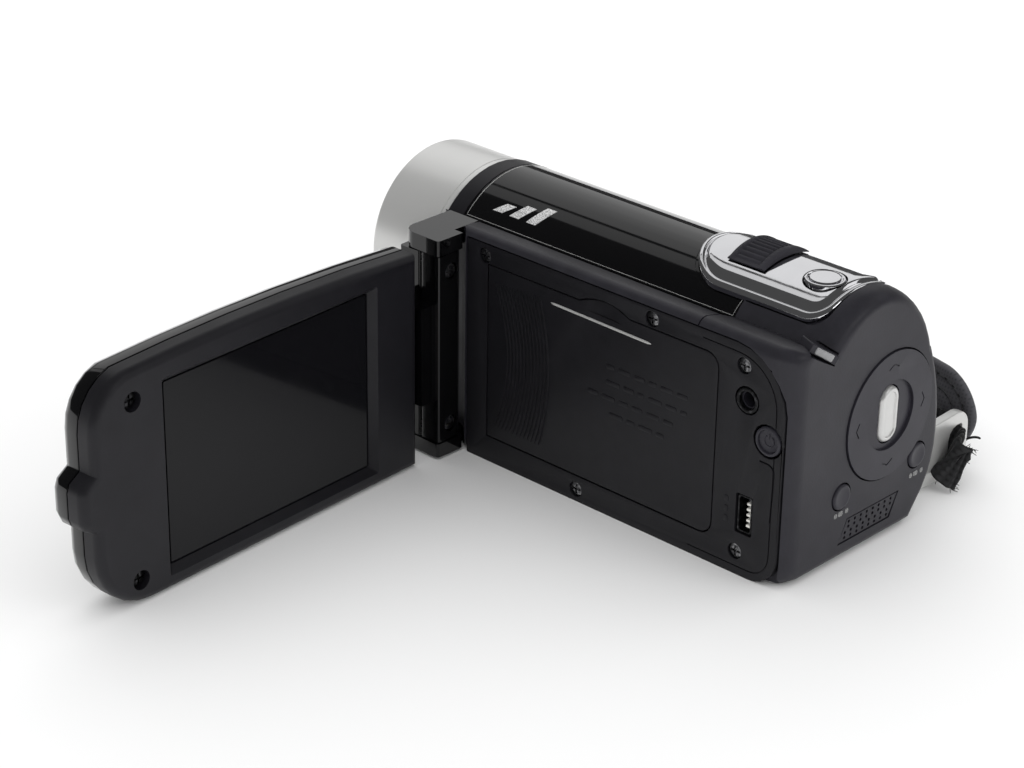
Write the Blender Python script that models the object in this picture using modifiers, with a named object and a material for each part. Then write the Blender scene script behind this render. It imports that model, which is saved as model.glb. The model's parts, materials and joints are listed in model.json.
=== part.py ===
"""Compact camcorder with a swing-out screen, a grip strap and all its controls.

The frame: the lens looks along -Y, the screen side is +X, the strap side is -X and +Z is up.
The origin is on the flat underside. Every size below is in millimetres.
"""

import math

import bmesh
import bpy
from mathutils import Matrix, Vector

MM = 0.001
GAP = 0.3  # clearance that touching pieces keep

# Lens barrel, which runs along Y
BARREL_Z = 31.6
BARREL_R = 18.6
RING_FRONT_Y = -54.0
COLLAR_FRONT_Y = -36.7
COLLAR_BACK_Y = -32.7
GLOSS_END_DEG = 41.5  # where the glossy cover ends on the screen side, above the horizontal
GLOSS_FAR_DEG = 162.0
TUBE_HOLE_R = 16.9
GLASS_R = 10.7

# Casing
WALL = 2.0
REAR_SEAM_Y = 36.0
REAR_Y = 58.0
SIDE_X = 23.9  # outside of the side plate
RIM_X = 24.2
RIDGE_TOP_Z = 47.1
SLOPE_LOW_Z = 42.0  # the ridge's height at the front of the collar
TOP_Z = 51.5
GRIP_X = -22.4
GRIP_WIDE_Z = 17.0
HEEL_X = -15.0
SPLIT_X = 2.0
GRIP_FALL = 34.5  # how far the grip's side takes to curve in, above its widest point
HEEL_R = 11.4
ROOM_TOP_Z = 42.9
ROOM_SIDE = ((-18.9, 28.0), (-20.1, 17.0), (-17.8, 7.0), (-13.4, WALL))  # inside of the grip's wall
LAMP_XZ = (9.5, 8.0)
LAMP_R = 2.3
MIC_XZ = (-9.5, 7.0)
SLOPE_IN_X = 14.6
HIGH_Z = 60.0  # above everything
REAR_ROUND = 4.5  # depth of the rear edge's rounding
LIGHT_XYZ = (14.6, 55.6, 44.6)
LIGHT_TILT_DEG = -32
LIGHT_YAW_DEG = -24

# Side plate, battery door and sockets, as (y, z) on the plate
PLATE_FRONT_Y = -21.4
PLATE_BACK_Y = 56.0
PLATE_TOP_Z = 45.6
PLATE_T = 1.6
DOOR_Y = (-15.9, 40.8)
DOOR_Z = (5.6, 41.6)
JACK_YZ = (47.7, 35.2)
JACK_R = 2.45
POWER_YZ = (52.8, 28.9)
POWER_R = 3.0
USB_Y = (46.4, 50.3)
USB_Z = (8.6, 16.6)
CARD_Y = (30.7, 32.8)
CARD_Z = (10.0, 34.0)
PLATE_SCREWS_YZ = ((-16.9, 43.2), (25.1, 43.6), (46.6, 41.6), (7.7, 2.5), (46.7, 4.6))

# Screen hinge: a vertical axis, then a tilt axis along the panel
SWING_X = 29.2
SWING_Y = -28.1
OPEN_DEG = 87.0  # how far the screen stands open at rest
TILT_Z = 23.2
ARM_LOW_Z = 3.8
ARM_HIGH_Z = 42.9
LUG_X = 31.0  # outer face of the fixed lugs
LUG_Y = (-32.1, -22.3)
LUG_ROOT_X = 18.0
LUG_ROOT_Y = -24.5
LUG_Z = (0.6, 46.4)
PIN_R = 1.4
PIN_REACH = 2.6  # how far a pin stands in the arm
SHAFT_R = 2.2
POCKET_R = 8.1
ARM_SPLIT_X = SWING_X - 0.6
ARM_IN_X = SWING_X - 5.6
ARM_OUT_X = SWING_X + 4.5
ARM_SCREW_U = -1.8
ARM_SCREW_Z = (6.9, 39.2)
HOUSE_Z = (13.0, 33.4)  # the boss round the tilt shaft

# Screen panel, laid out along u from the swing axis and z
PANEL_U0 = 6.3
PANEL_LENGTH = 81.0
PANEL_HALF_H = 23.0
PANEL_T = 9.0
CROWN_U = 52.0  # where the gently arched upper edge is highest
LOBE_REACH = 3.0
LOBE_HALF_H = 5.7
SCREEN_U = (17.5, 71.3)
SCREEN_Z = (3.0, 41.9)
BEZEL_T = 3.9
PANEL_SCREW_U = 78.1
PANEL_SCREW_Z = (5.1, 40.0)
GLASS_DEPTH = 1.5  # how far the glass lies below the panel's face
GLASS_SLOPE = 1.3  # how far the walls round it lean outwards

# Rear controls, as (x, z) on the rear face
PAD_XZ = (-4.9, 26.1)
PAD_R = 12.6
OK_SIZE = (5.4, 11.2)
PAD_BACK_Y = 56.0
ROUND_BUTTON_R = 2.5
MENU_XZ = (8.1, 14.0)
MODE_XZ = (-14.6, 14.4)
SPEAKER_X = (-8.6, 7.0)
SPEAKER_Z = (3.9, 8.7)

# Top controls
PLATE_R = 20.3
TOP_PLATE_IN_R = 18.8
TOP_PLATE_Y = (19.0, 53.2)
TOP_PLATE_X = 11.2
SLIDER_Y = (27.7, 36.3)
SLIDER_HALF = 6.5
SLIDER_TOP_Z = 53.4
SHUTTER_XY = (2.4, 46.9)
SHUTTER_R = 3.8

# Grip strap
PAD_Z = 9.6
PAD_WIDTH = 18.0
PAD_THICK = 4.2
WEB_WIDTH = 9.0
PAD_PATH = (
    (-40.2, 52.6),
    (-40.6, 46.5),
    (-43.6, 33.0),
    (-46.0, 15.0),
    (-44.6, -4.0),
    (-36.5, -19.5),
)
WEB_REAR_PATH = (
    (-40.0, 45.0),
    (-39.2, 48.0),
    (-37.4, 49.5),
    (-35.8, 50.9),
    (-34.9, 52.6),
    (-33.4, 54.4),
    (-31.0, 58.2),
)
WEB_FRONT_PATH = (
    (-42.4, -6.5),
    (-39.4, -11.5),
    (-34.5, -15.6),
    (-29.5, -17.4),
    (-26.6, -19.6),
    (-25.8, -25.5),
)
WEB_REAR_Z = 6.3
BRACKET_ROOT_X = -17.2
BRACKET_REAR_Y = 51.4
BRACKET_FRONT_Y = -21.0
BRACKET_FRONT_Z = (2.6, 16.4)
BRACKET_REAR_Z = (1.2, 14.0)
BRACKET_HALF_T = 1.0

# Base
TRIPOD_XY = (-6.5, 12.0)
TRIPOD_R = 4.0

PARTS = None
CUTTERS = None
MATERIALS = {}

FINISHES = {
    "matte_black": ((0.018, 0.018, 0.020), 0.55, 0.0),
    "gloss_black": ((0.006, 0.006, 0.007), 0.08, 0.0),
    "satin_silver": ((0.62, 0.62, 0.62), 0.28, 0.9),
    "chrome": ((0.80, 0.80, 0.82), 0.06, 1.0),
    "steel": ((0.45, 0.45, 0.46), 0.30, 1.0),
    "screen_glass": ((0.010, 0.010, 0.012), 0.05, 0.0),
    "lens_glass": ((0.030, 0.030, 0.050), 0.02, 0.0),
    "circuit_green": ((0.020, 0.120, 0.050), 0.45, 0.0),
    "cell_grey": ((0.120, 0.130, 0.150), 0.40, 0.0),
    "web_black": ((0.010, 0.010, 0.010), 0.90, 0.0),
    "clear": ((0.75, 0.75, 0.75), 0.15, 0.0),
    "brass": ((0.60, 0.45, 0.20), 0.30, 1.0),
}


# ---------------------------------------------------------------- scene and shared tools


def start_scene():
    """Empty the scene and make the two collections."""
    global PARTS, CUTTERS
    for old in list(bpy.data.objects):
        bpy.data.objects.remove(old, do_unlink=True)
    PARTS = bpy.data.collections.new("camcorder")
    CUTTERS = bpy.data.collections.new("camcorder_cutters")
    bpy.context.scene.collection.children.link(PARTS)
    bpy.context.scene.collection.children.link(CUTTERS)


def finish(name):
    """The Principled material of one finish, made once."""
    if name not in MATERIALS:
        colour, rough, metal = FINISHES[name]
        made = bpy.data.materials.new(name)
        made.use_nodes = True
        shader = made.node_tree.nodes["Principled BSDF"]
        shader.inputs["Base Color"].default_value = (*colour, 1.0)
        shader.inputs["Roughness"].default_value = rough
        shader.inputs["Metallic"].default_value = metal
        MATERIALS[name] = made
    return MATERIALS[name]


def keep(name, mesh, look):
    """Wrap a mesh in an object: a part with its look, or a cutter where look is None."""
    item = bpy.data.objects.new(name, mesh)
    if look is None:
        CUTTERS.objects.link(item)
        item.hide_render = True
        item.display_type = "WIRE"
        return item
    PARTS.objects.link(item)
    mesh.materials.append(finish(look))
    mesh.shade_smooth()
    mesh.set_sharp_from_angle(angle=math.radians(35))
    return item


def from_bmesh(name, shape, look):
    """Close off a bmesh, with outward faces, as a part or cutter."""
    bmesh.ops.recalc_face_normals(shape, faces=shape.faces)
    mesh = bpy.data.meshes.new(name)
    shape.to_mesh(mesh)
    shape.free()
    return keep(name, mesh, look)


def cut(target, cutter):
    """Take the cutter away from the target."""
    boolean = target.modifiers.new("cut_" + cutter.name, "BOOLEAN")
    boolean.operation = "DIFFERENCE"
    boolean.object = cutter


def join(target, addition):
    """Add an overlapping shape to the target."""
    boolean = target.modifiers.new("join_" + addition.name, "BOOLEAN")
    boolean.operation = "UNION"
    boolean.object = addition


def axes_of(axis):
    """Rotation that lays a drawing's (a, b) on the plane across the given axis."""
    columns = {
        "X": ((0, 1, 0), (0, 0, 1), (1, 0, 0)),
        "Y": ((1, 0, 0), (0, 0, 1), (0, -1, 0)),
        "Z": ((1, 0, 0), (0, 1, 0), (0, 0, 1)),
    }[axis]
    return Matrix(columns).transposed().to_4x4()


def along(axis, distance):
    """Shift by a distance along one axis."""
    unit = {"X": (1, 0, 0), "Y": (0, 1, 0), "Z": (0, 0, 1)}[axis]
    return Matrix.Translation(Vector(unit) * distance)


def slab(name, outline, axis, low, high, look=None, holes=(), turn=None):
    """A flat outline of millimetre points, extruded from low to high along an axis."""
    curve = bpy.data.curves.new(name, "CURVE")
    curve.dimensions = "2D"
    curve.fill_mode = "BOTH"
    curve.extrude = (high - low) / 2 * MM
    for loop in (outline, *holes):
        spline = curve.splines.new("POLY")
        spline.points.add(len(loop) - 1)
        for point, (a, b) in zip(spline.points, loop):
            point.co = (a * MM, b * MM, 0, 1)
        spline.use_cyclic_u = True
    drawn = bpy.data.objects.new(name + "_drawing", curve)
    CUTTERS.objects.link(drawn)
    bpy.context.view_layer.update()
    graph = bpy.context.evaluated_depsgraph_get()
    mesh = bpy.data.meshes.new_from_object(drawn.evaluated_get(graph))
    bpy.data.objects.remove(drawn, do_unlink=True)
    bpy.data.curves.remove(curve)
    place = along(axis, (low + high) / 2 * MM) @ axes_of(axis)
    mesh.transform(turn @ place if turn else place)
    mesh.materials.clear()
    shape = bmesh.new()
    shape.from_mesh(mesh)
    bpy.data.meshes.remove(mesh)
    bmesh.ops.remove_doubles(shape, verts=shape.verts, dist=1e-6)
    return from_bmesh(name, shape, look)


def block(name, low, high, look=None, turn=None, bevel=0.0):
    """A box between two corners, with its edges eased when bevel is given."""
    shape = bmesh.new()
    size = [(h - l) * MM for l, h in zip(low, high)]
    centre = [(h + l) / 2 * MM for l, h in zip(low, high)]
    bmesh.ops.create_cube(shape, size=1.0)
    bmesh.ops.scale(shape, vec=size, verts=shape.verts)
    if bevel:
        edges = shape.edges[:]
        bmesh.ops.bevel(shape, geom=edges, offset=bevel * MM, segments=2, affect="EDGES", profile=0.5)
    bmesh.ops.translate(shape, vec=centre, verts=shape.verts)
    if turn:
        bmesh.ops.transform(shape, matrix=turn, verts=shape.verts)
    return from_bmesh(name, shape, look)


def disc(name, radius, axis, centre, low, high, look=None, steps=32, turn=None, end_radius=None):
    """A cylinder or cone along an axis, centred on (a, b) of the plane across it."""
    shape = bmesh.new()
    tip = radius if end_radius is None else end_radius
    first, last = (tip, radius) if axis == "Y" else (radius, tip)
    bmesh.ops.create_cone(
        shape, cap_ends=True, segments=steps, radius1=first * MM, radius2=last * MM, depth=(high - low) * MM
    )
    flat = Matrix.Translation((centre[0] * MM, centre[1] * MM, 0))
    place = along(axis, (low + high) / 2 * MM) @ axes_of(axis) @ flat
    bmesh.ops.transform(shape, matrix=turn @ place if turn else place, verts=shape.verts)
    return from_bmesh(name, shape, look)


def turned(name, profile, centre, look, steps=48):
    """A ring turned about an axis along Y through (x, z), from a closed (radius, y) profile."""
    shape = bmesh.new()
    corners = [shape.verts.new((r * MM, 0, -y * MM)) for r, y in profile]
    for first, second in zip(corners, corners[1:] + corners[:1]):
        shape.edges.new((first, second))
    drawn = bpy.data.meshes.new(name)
    shape.to_mesh(drawn)
    shape.free()
    item = bpy.data.objects.new(name + "_profile", drawn)
    CUTTERS.objects.link(item)
    screw = item.modifiers.new("turn", "SCREW")
    screw.steps = steps
    screw.render_steps = steps
    screw.use_merge_vertices = True
    screw.merge_threshold = 1e-6
    bpy.context.view_layer.update()
    graph = bpy.context.evaluated_depsgraph_get()
    mesh = bpy.data.meshes.new_from_object(item.evaluated_get(graph))
    bpy.data.objects.remove(item, do_unlink=True)
    mesh.transform(Matrix.Translation((centre[0] * MM, 0, centre[1] * MM)) @ axes_of("Y"))
    closed = bmesh.new()
    closed.from_mesh(mesh)
    bmesh.ops.remove_doubles(closed, verts=closed.verts, dist=1e-6)
    return from_bmesh(name, closed, look)


def loft(name, rings, look=None):
    """A closed skin through rings of equally many 3-D points, capped at both ends."""
    shape = bmesh.new()
    rows = [[shape.verts.new([c * MM for c in point]) for point in ring] for ring in rings]
    for near, far in zip(rows, rows[1:]):
        for i in range(len(near)):
            j = (i + 1) % len(near)
            shape.faces.new((near[i], near[j], far[j], far[i]))
    shape.faces.new(list(reversed(rows[0])))
    shape.faces.new(rows[-1])
    return from_bmesh(name, shape, look)


def arc(a, b, radius, start, end, steps, radius_b=None):
    """Points of a circular or elliptical arc, angles in degrees."""
    tall = radius if radius_b is None else radius_b
    points = []
    for i in range(steps + 1):
        angle = math.radians(start + (end - start) * i / steps)
        points.append((a + radius * math.cos(angle), b + tall * math.sin(angle)))
    return points


def rounded(a0, b0, a1, b1, radius, steps=4):
    """A rectangle with rounded corners; radius is one value or four from the upper right, anticlockwise."""
    r = radius if isinstance(radius, (tuple, list)) else (radius,) * 4
    return (
        arc(a1 - r[0], b1 - r[0], r[0], 0, 90, steps)
        + arc(a0 + r[1], b1 - r[1], r[1], 90, 180, steps)
        + arc(a0 + r[2], b0 + r[2], r[2], 180, 270, steps)
        + arc(a1 - r[3], b0 + r[3], r[3], 270, 360, steps)
    )


def placed(turn, points):
    """Millimetre points moved by a rotation that is written in metres."""
    return [tuple(turn @ (Vector(point) * MM) / MM) for point in points]


def panel_turn():
    """Places a shape drawn with the screen closed (u along +Y, inner face to -X) at its open rest."""
    centre = Vector((SWING_X * MM, SWING_Y * MM, 0))
    swing = Matrix.Rotation(math.radians(-OPEN_DEG), 4, "Z")
    return Matrix.Translation(centre) @ swing @ Matrix.Translation(-centre)


def closed_y(u):
    """The y of a distance u along the panel while the screen is closed."""
    return SWING_Y + u


# ---------------------------------------------------------------- casing


def barrel_arc(radius, start, end, steps):
    """Points of the lens barrel's round, in (x, z)."""
    return arc(0, BARREL_Z, radius, start, end, steps)


def heel():
    """The grip side's lower corner, from its widest point down to the base."""
    return arc(GRIP_X + HEEL_R, GRIP_WIDE_Z, HEEL_R, 180, 237, 5, radius_b=GRIP_WIDE_Z)[:-1] + [(HEEL_X, 0.0)]


def grip_side():
    """The grip side above its widest point, from the glossy cover down."""
    return arc(SPLIT_X, GRIP_WIDE_Z, SPLIT_X - GRIP_X, 147, 180, 4, radius_b=GRIP_FALL)[:-1]


def low_corner():
    """The screen side's lower corner, from the base up to the rim."""
    return [(20.4, 0.0)] + arc(20.9, 3.3, 3.3, -60, 0, 2)


def ridge():
    """The rounded ridge over the side plate, from its rim up and over to the glossy cover."""
    top = barrel_arc(BARREL_R, GLOSS_END_DEG, GLOSS_END_DEG + 1, 1)[:1]
    return arc(RIM_X - 2.2, RIDGE_TOP_Z - 2.2, 2.2, 0, 100, 4) + [(18.0, 46.2)] + top


def full_section():
    """The casing's whole outline in (x, z), anticlockwise from the lower right."""
    top = barrel_arc(BARREL_R, GLOSS_END_DEG + 6, GLOSS_FAR_DEG + 4, 14)
    return low_corner() + ridge() + top + grip_side() + heel()


def cavity(name, low_y, high_y):
    """The room inside the casing, all the way across."""
    outline = [ROOM_SIDE[-1], (30.0, WALL), (30.0, ROOM_TOP_Z), (13.0, ROOM_TOP_Z)]
    outline += barrel_arc(BARREL_R - WALL, 44, 160, 10) + list(ROOM_SIDE[:-1])
    return slab(name, outline, "Y", low_y, high_y)


def hinge_pocket(name):
    """The round recess that the screen's hinge turns in."""
    return disc(name, POCKET_R, "Z", (SWING_X, SWING_Y), -1, HIGH_Z, steps=40)


def ridge_slope(name):
    """The wedge of air over the ridge's front end, which falls towards the lens, kept clear of the barrel."""
    front, back = COLLAR_FRONT_Y - 1.0, PLATE_FRONT_Y - 1.5
    profile = [(front, SLOPE_LOW_Z - 0.3), (back, RIDGE_TOP_Z), (back, 56.0), (front, 56.0)]
    wedge = slab(name, profile, "X", SLOPE_IN_X, 30.0)
    cut(wedge, disc(name + "_barrel", BARREL_R, "Y", (0, BARREL_Z), COLLAR_FRONT_Y - 5, 0.0, steps=96))
    return wedge


def make_front_cover():
    """Front face with its collar round the lens tube."""
    cover = slab("front_cover", full_section(), "Y", COLLAR_FRONT_Y, COLLAR_BACK_Y, "matte_black")
    through = (COLLAR_FRONT_Y - 1, COLLAR_BACK_Y + 1)
    cut(cover, disc("tube_hole", TUBE_HOLE_R, "Y", (0, BARREL_Z), *through, steps=48))
    cut(cover, block("front_pocket", (20.9, -40.0, -1.0), (30.0, -30.0, HIGH_Z)))
    cut(cover, ridge_slope("front_slope"))
    cut(cover, disc("lamp_hole", LAMP_R + GAP, "Y", LAMP_XZ, *through, steps=20))
    cut(cover, disc("mic_hole", 0.9, "Y", MIC_XZ, *through, steps=12))


def make_left_casing():
    """Screen-side shell: floor, ridge and end walls round the battery bay."""
    low, high = COLLAR_BACK_Y + GAP, REAR_SEAM_Y - GAP
    edge = SPLIT_X + GAP / 2
    outline = [(edge, 0.0)] + low_corner() + ridge() + barrel_arc(BARREL_R, 36, 20, 2) + [(edge, 30.0)]
    shell = slab("left_casing", outline, "Y", low, high, "matte_black")
    cut(shell, cavity("left_room", PLATE_FRONT_Y + 3.4, high - WALL))
    cut(shell, block("left_front_room", (0.0, low + WALL, WALL), (15.0, PLATE_FRONT_Y + 5.0, 41.4)))
    cut(shell, disc("left_tube_room", BARREL_R - WALL + GAP, "Y", (0, BARREL_Z), low - 1, high + 1, steps=48))
    cut(shell, hinge_pocket("left_pocket"))
    for label, z0, z1 in (("lower", 0.0, ARM_LOW_Z), ("upper", ARM_HIGH_Z, HIGH_Z)):
        seat_low = (LUG_ROOT_X - GAP, LUG_Y[0] - GAP, z0 - 0.1)
        cut(shell, block("root_seat_" + label, seat_low, (40.0, LUG_ROOT_Y + GAP, z1)))
    front, top = PLATE_FRONT_Y - GAP, PLATE_TOP_Z + GAP
    seat = [(front, -1.0), (60, -1.0), (60, top), (front, top)]
    cut(shell, slab("left_plate_seat", seat, "X", SIDE_X - PLATE_T - GAP, 40))
    cut(shell, ridge_slope("left_slope"))


def make_right_casing():
    """Grip-side shell."""
    low, high = COLLAR_BACK_Y + GAP, REAR_SEAM_Y - GAP
    edge = SPLIT_X - GAP / 2
    outer = barrel_arc(BARREL_R, GLOSS_FAR_DEG + 1, GLOSS_FAR_DEG + 4, 1)
    outer += grip_side() + heel() + [(edge, 0.0)]
    inner = [(edge, WALL)] + list(reversed(ROOM_SIDE))
    inner += barrel_arc(BARREL_R - WALL, GLOSS_FAR_DEG + 4, GLOSS_FAR_DEG + 1, 1)
    slab("right_casing", outer + inner, "Y", low, high, "matte_black")


def make_barrel_cover():
    """Glossy half-round cover over the lens barrel."""
    outer = barrel_arc(BARREL_R, GLOSS_END_DEG + 0.5, GLOSS_FAR_DEG, 24)
    inner = barrel_arc(BARREL_R - 1.6, GLOSS_FAR_DEG, GLOSS_END_DEG + 0.5, 24)
    cover = slab("barrel_cover", outer + inner, "Y", COLLAR_BACK_Y + GAP, REAR_SEAM_Y - GAP, "gloss_black")
    cut(cover, top_plate_well("cover_well"))


def rear_ring(y, share):
    """The rear cover's outline at y, drawn in towards the rear face by share, 0 to 1."""
    ring = []
    for x, z in full_section():
        crown = max(0.0, 1.0 - (x / 17.0) ** 2) if z > 40 else 0.0
        z_full = z + (TOP_Z - BARREL_Z - BARREL_R) * crown
        x_end = -3.0 + (x + 3.0) * (0.84 if x > -3.0 else 0.86)
        z_end = 24.0 + (z_full - 24.0) * 0.90
        ring.append((x + (x_end - x) * share, y, z_full + (z_end - z_full) * share))
    return ring


def make_rear_cover():
    """Rear cover: a deep cap whose rear edge is rounded all the way round."""
    low = REAR_SEAM_Y
    depth = REAR_ROUND
    rings = [rear_ring(low, 0.0), rear_ring(REAR_Y - depth, 0.0)]
    for i in range(1, 6):
        angle = math.radians(90 * i / 5)
        rings.append(rear_ring(REAR_Y - depth + depth * math.sin(angle), 1 - math.cos(angle)))
    cover = loft("rear_cover", rings, "matte_black")
    cut(cover, cavity("rear_room", low - 1, REAR_Y - 5.0))
    seat = rounded(20, -8.0, PLATE_BACK_Y + GAP, PLATE_TOP_Z + GAP, (11.3, 0.1, 0.1, 12.3), 6)
    cut(cover, slab("rear_plate_seat", seat, "X", SIDE_X - PLATE_T - GAP, 40))
    cut(cover, top_plate_well("rear_well"))
    cut(cover, disc("pad_well", PAD_R + GAP, "Y", PAD_XZ, PAD_BACK_Y - 0.5, REAR_Y + 2, steps=48))
    cut(cover, slab("centre_button_hole", stadium(*PAD_XZ, *OK_SIZE, GAP), "Y", 50.0, REAR_Y + 2))
    for label, (x, z) in (("menu", MENU_XZ), ("mode", MODE_XZ)):
        cut(cover, disc(label + "_well", ROUND_BUTTON_R + GAP, "Y", (x, z), REAR_Y - 6, REAR_Y + 3, steps=24))
    cut(cover, disc("power_well", POWER_R + GAP, "X", POWER_YZ, 20.8, 23.0, steps=24))
    cut(cover, slab("speaker_mouth", grille_outline(0.0), "Y", REAR_Y - 6, REAR_Y + 2))


def grille_outline(inset):
    """Slanted parallelogram of the speaker's grille, drawn in by inset."""
    slant = 1.2
    x0, x1 = SPEAKER_X[0] + inset, SPEAKER_X[1] - inset
    z0, z1 = SPEAKER_Z[0] + inset, SPEAKER_Z[1] - inset
    return [(x0 + slant, z0), (x1 + slant, z0), (x1 - slant, z1), (x0 - slant, z1)]


# ---------------------------------------------------------------- lens


def make_lens():
    """Silver ring, black inner bezel, front glass, tube, rear lens, sensor and its board."""
    z = BARREL_Z
    front = RING_FRONT_Y
    ring = [(18.3, COLLAR_FRONT_Y - GAP), (18.3, front + 0.8), (17.6, front), (16.6, front)]
    ring += [(16.2, front + 0.6), (16.2, COLLAR_FRONT_Y - GAP)]
    turned("lens_ring", ring, (0, z), "satin_silver", 64)
    bezel = [(15.9, front + 1.2), (15.9, front + 7.0), (GLASS_R + GAP, front + 7.0)]
    bezel += [(GLASS_R + GAP, front + 5.4), (14.6, front + 1.2)]
    turned("lens_bezel", bezel, (0, z), "matte_black", 48)
    disc("front_glass", GLASS_R, "Y", (0, z), front + 5.6, front + 7.4, "lens_glass", 40)
    tube = [(14.0, front + 7.7), (14.0, 6.0), (9.0, 6.0), (9.0, 4.0), (12.4, 4.0), (12.4, front + 7.7)]
    turned("lens_tube", tube, (0, z), "matte_black", 40)
    disc("rear_lens", 8.6, "Y", (0, z), -1.6, 3.6, "lens_glass", 32, end_radius=7.0)
    block("image_sensor", (-4.0, 6.6, z - 3.2), (4.0, 7.6, z + 3.2), "screen_glass")
    block("sensor_board", (-10.0, 7.9, z - 9.5), (10.0, 9.1, z + 9.5), "circuit_green")


# ---------------------------------------------------------------- screen side


def door_outline(grow):
    """Battery door in (y, z), with the bulge of its finger scoop on the upper edge."""
    y0, y1 = DOOR_Y[0] - grow, DOOR_Y[1] + grow
    z0, z1 = DOOR_Z[0] - grow, DOOR_Z[1] + grow
    corner = 2.6 + grow
    bulge = arc(13.6, z1 - 12.0, 13.5, 62.7, 117.3, 6, radius_b=13.5)
    return (
        arc(y1 - corner, z1 - corner, corner, 0, 90, 4)
        + bulge
        + [(y0, z1), (y0, z0)]
        + arc(y1 - corner, z0 + corner, corner, 270, 360, 4)
    )


def make_side_plate():
    """Side plate with the door's opening and the socket and screw holes."""
    outline = rounded(PLATE_FRONT_Y, 0.0, PLATE_BACK_Y, PLATE_TOP_Z, (11.0, 0.4, 0.4, 6.0), 6)
    holes = [
        door_outline(GAP),
        arc(*JACK_YZ, JACK_R + GAP, 0, 337.5, 15),
        arc(*POWER_YZ, POWER_R + GAP, 0, 340, 17),
        rounded(USB_Y[0], USB_Z[0], USB_Y[1], USB_Z[1], 0.4, 2),
    ]
    holes += [arc(y, z, 1.6, 0, 330, 11) for y, z in PLATE_SCREWS_YZ]
    slab("side_plate", outline, "X", SIDE_X - PLATE_T, SIDE_X, "matte_black", holes)
    for i, (y, z) in enumerate(PLATE_SCREWS_YZ):
        make_screw(f"plate_screw_{i + 1}", (y, z), 1.3, SIDE_X - PLATE_T, SIDE_X - 0.35)


def make_screw(name, place, radius, low, high, turn=None, facing=1):
    """A cross-head screw head along X, its slots on the side it faces."""
    head = disc(name, radius, "X", place, low, high, "steel", 16, turn)
    face = high if facing > 0 else low
    y, z = place
    for i, (a, b) in enumerate(((0.75, 0.16), (0.16, 0.75))):
        low_corner = (face - 0.4, y - a * radius, z - b * radius)
        high_corner = (face + 0.4, y + a * radius, z + b * radius)
        cut(head, block(f"{name}_slot_{i}", low_corner, high_corner, turn=turn))


def make_battery_bay():
    """Battery door, the cell behind it, the memory card and its slot."""
    door = slab("battery_door", door_outline(0.0), "X", SIDE_X - 1.3, SIDE_X, "matte_black")
    cut(door, disc("scoop", 26.0, "Z", (SIDE_X + 25.6, 13.6), 40.2, 44.5, steps=64))
    block("battery_pack", (16.2, -10.0, 6.6), (21.8, 29.0, 40.4), "cell_grey", bevel=0.8)
    y0, y1 = CARD_Y
    z0, z1 = CARD_Z
    slot = block("card_slot", (-12.4, y0 - 0.8, z0 - 1.0), (19.6, y1 + 0.6, z1 + 1.0), "steel")
    cut(slot, block("card_slot_room", (-11.9, y0 - GAP, z0 - GAP), (23.0, y1 + GAP, z1 + GAP)))
    block("memory_card", (-10.5, y0, z0), (21.5, y1, z1), "matte_black")


def make_sockets():
    """USB socket, sound and picture jack, and the power button."""
    y0, y1 = USB_Y[0] + GAP, USB_Y[1] - GAP
    z0, z1 = USB_Z[0] + GAP, USB_Z[1] - GAP
    inner = rounded(y0 + 0.35, z0 + 0.35, y1 - 0.35, z1 - 0.35, 0.3, 1)
    outer = rounded(y0, z0, y1, z1, 0.5, 2)
    shell = slab("usb_shell", outer, "X", SIDE_X - 7.0, SIDE_X - 0.3, "steel")
    cut(shell, slab("usb_room", inner, "X", SIDE_X - 6.4, SIDE_X + 1))
    tongue_low = (SIDE_X - 6.1, y0 + 1.5, z0 + 1.2)
    block("usb_tongue", tongue_low, (SIDE_X - 1.6, y0 + 2.4, z1 - 1.2), "matte_black")
    jack = disc("av_jack", JACK_R, "X", JACK_YZ, SIDE_X - 8.0, SIDE_X + 0.1, "satin_silver", 24)
    cut(jack, disc("jack_bore", 1.75, "X", JACK_YZ, SIDE_X - 7.0, SIDE_X + 1, steps=20))
    button = disc("power_button", POWER_R, "X", POWER_YZ, SIDE_X - 1.5, SIDE_X + 0.2, "matte_black", 32)
    cut(button, disc("power_dish", 2.0, "X", POWER_YZ, SIDE_X, SIDE_X + 1, steps=28))


# ---------------------------------------------------------------- hinge and screen panel


def make_hinge():
    """Fixed lugs and pins, the turning arm with its cover and screws, and the tilt shaft."""
    centre = (SWING_X, SWING_Y)
    for label, low, high in (("lower", LUG_Z[0], ARM_LOW_Z - GAP), ("upper", ARM_HIGH_Z + GAP, LUG_Z[1])):
        inward = 1 if label == "lower" else -1
        seam = high if label == "lower" else low
        reach = PIN_REACH * inward
        pin_ends = sorted((seam + reach + GAP * inward, seam - 2.2 * inward))
        plan = rounded(RIM_X + 0.2, LUG_Y[0], LUG_X, LUG_Y[1], (0.6, 0.1, 0.1, 3.0), 4)
        lug = slab("hinge_lug_" + label, plan, "Z", low, high, "gloss_black")
        join(lug, block("lug_root_" + label, (LUG_ROOT_X, LUG_Y[0], low), (SWING_X - 1.0, LUG_ROOT_Y, high)))
        ends = (seam - 2.5 * inward, seam + 1.0 * inward)
        cut(lug, disc("lug_bore_" + label, PIN_R + 0.1, "Z", centre, min(ends), max(ends), steps=20))
        disc("hinge_pin_" + label, PIN_R, "Z", centre, *pin_ends, "steel", 20)
    make_arm()


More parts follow.
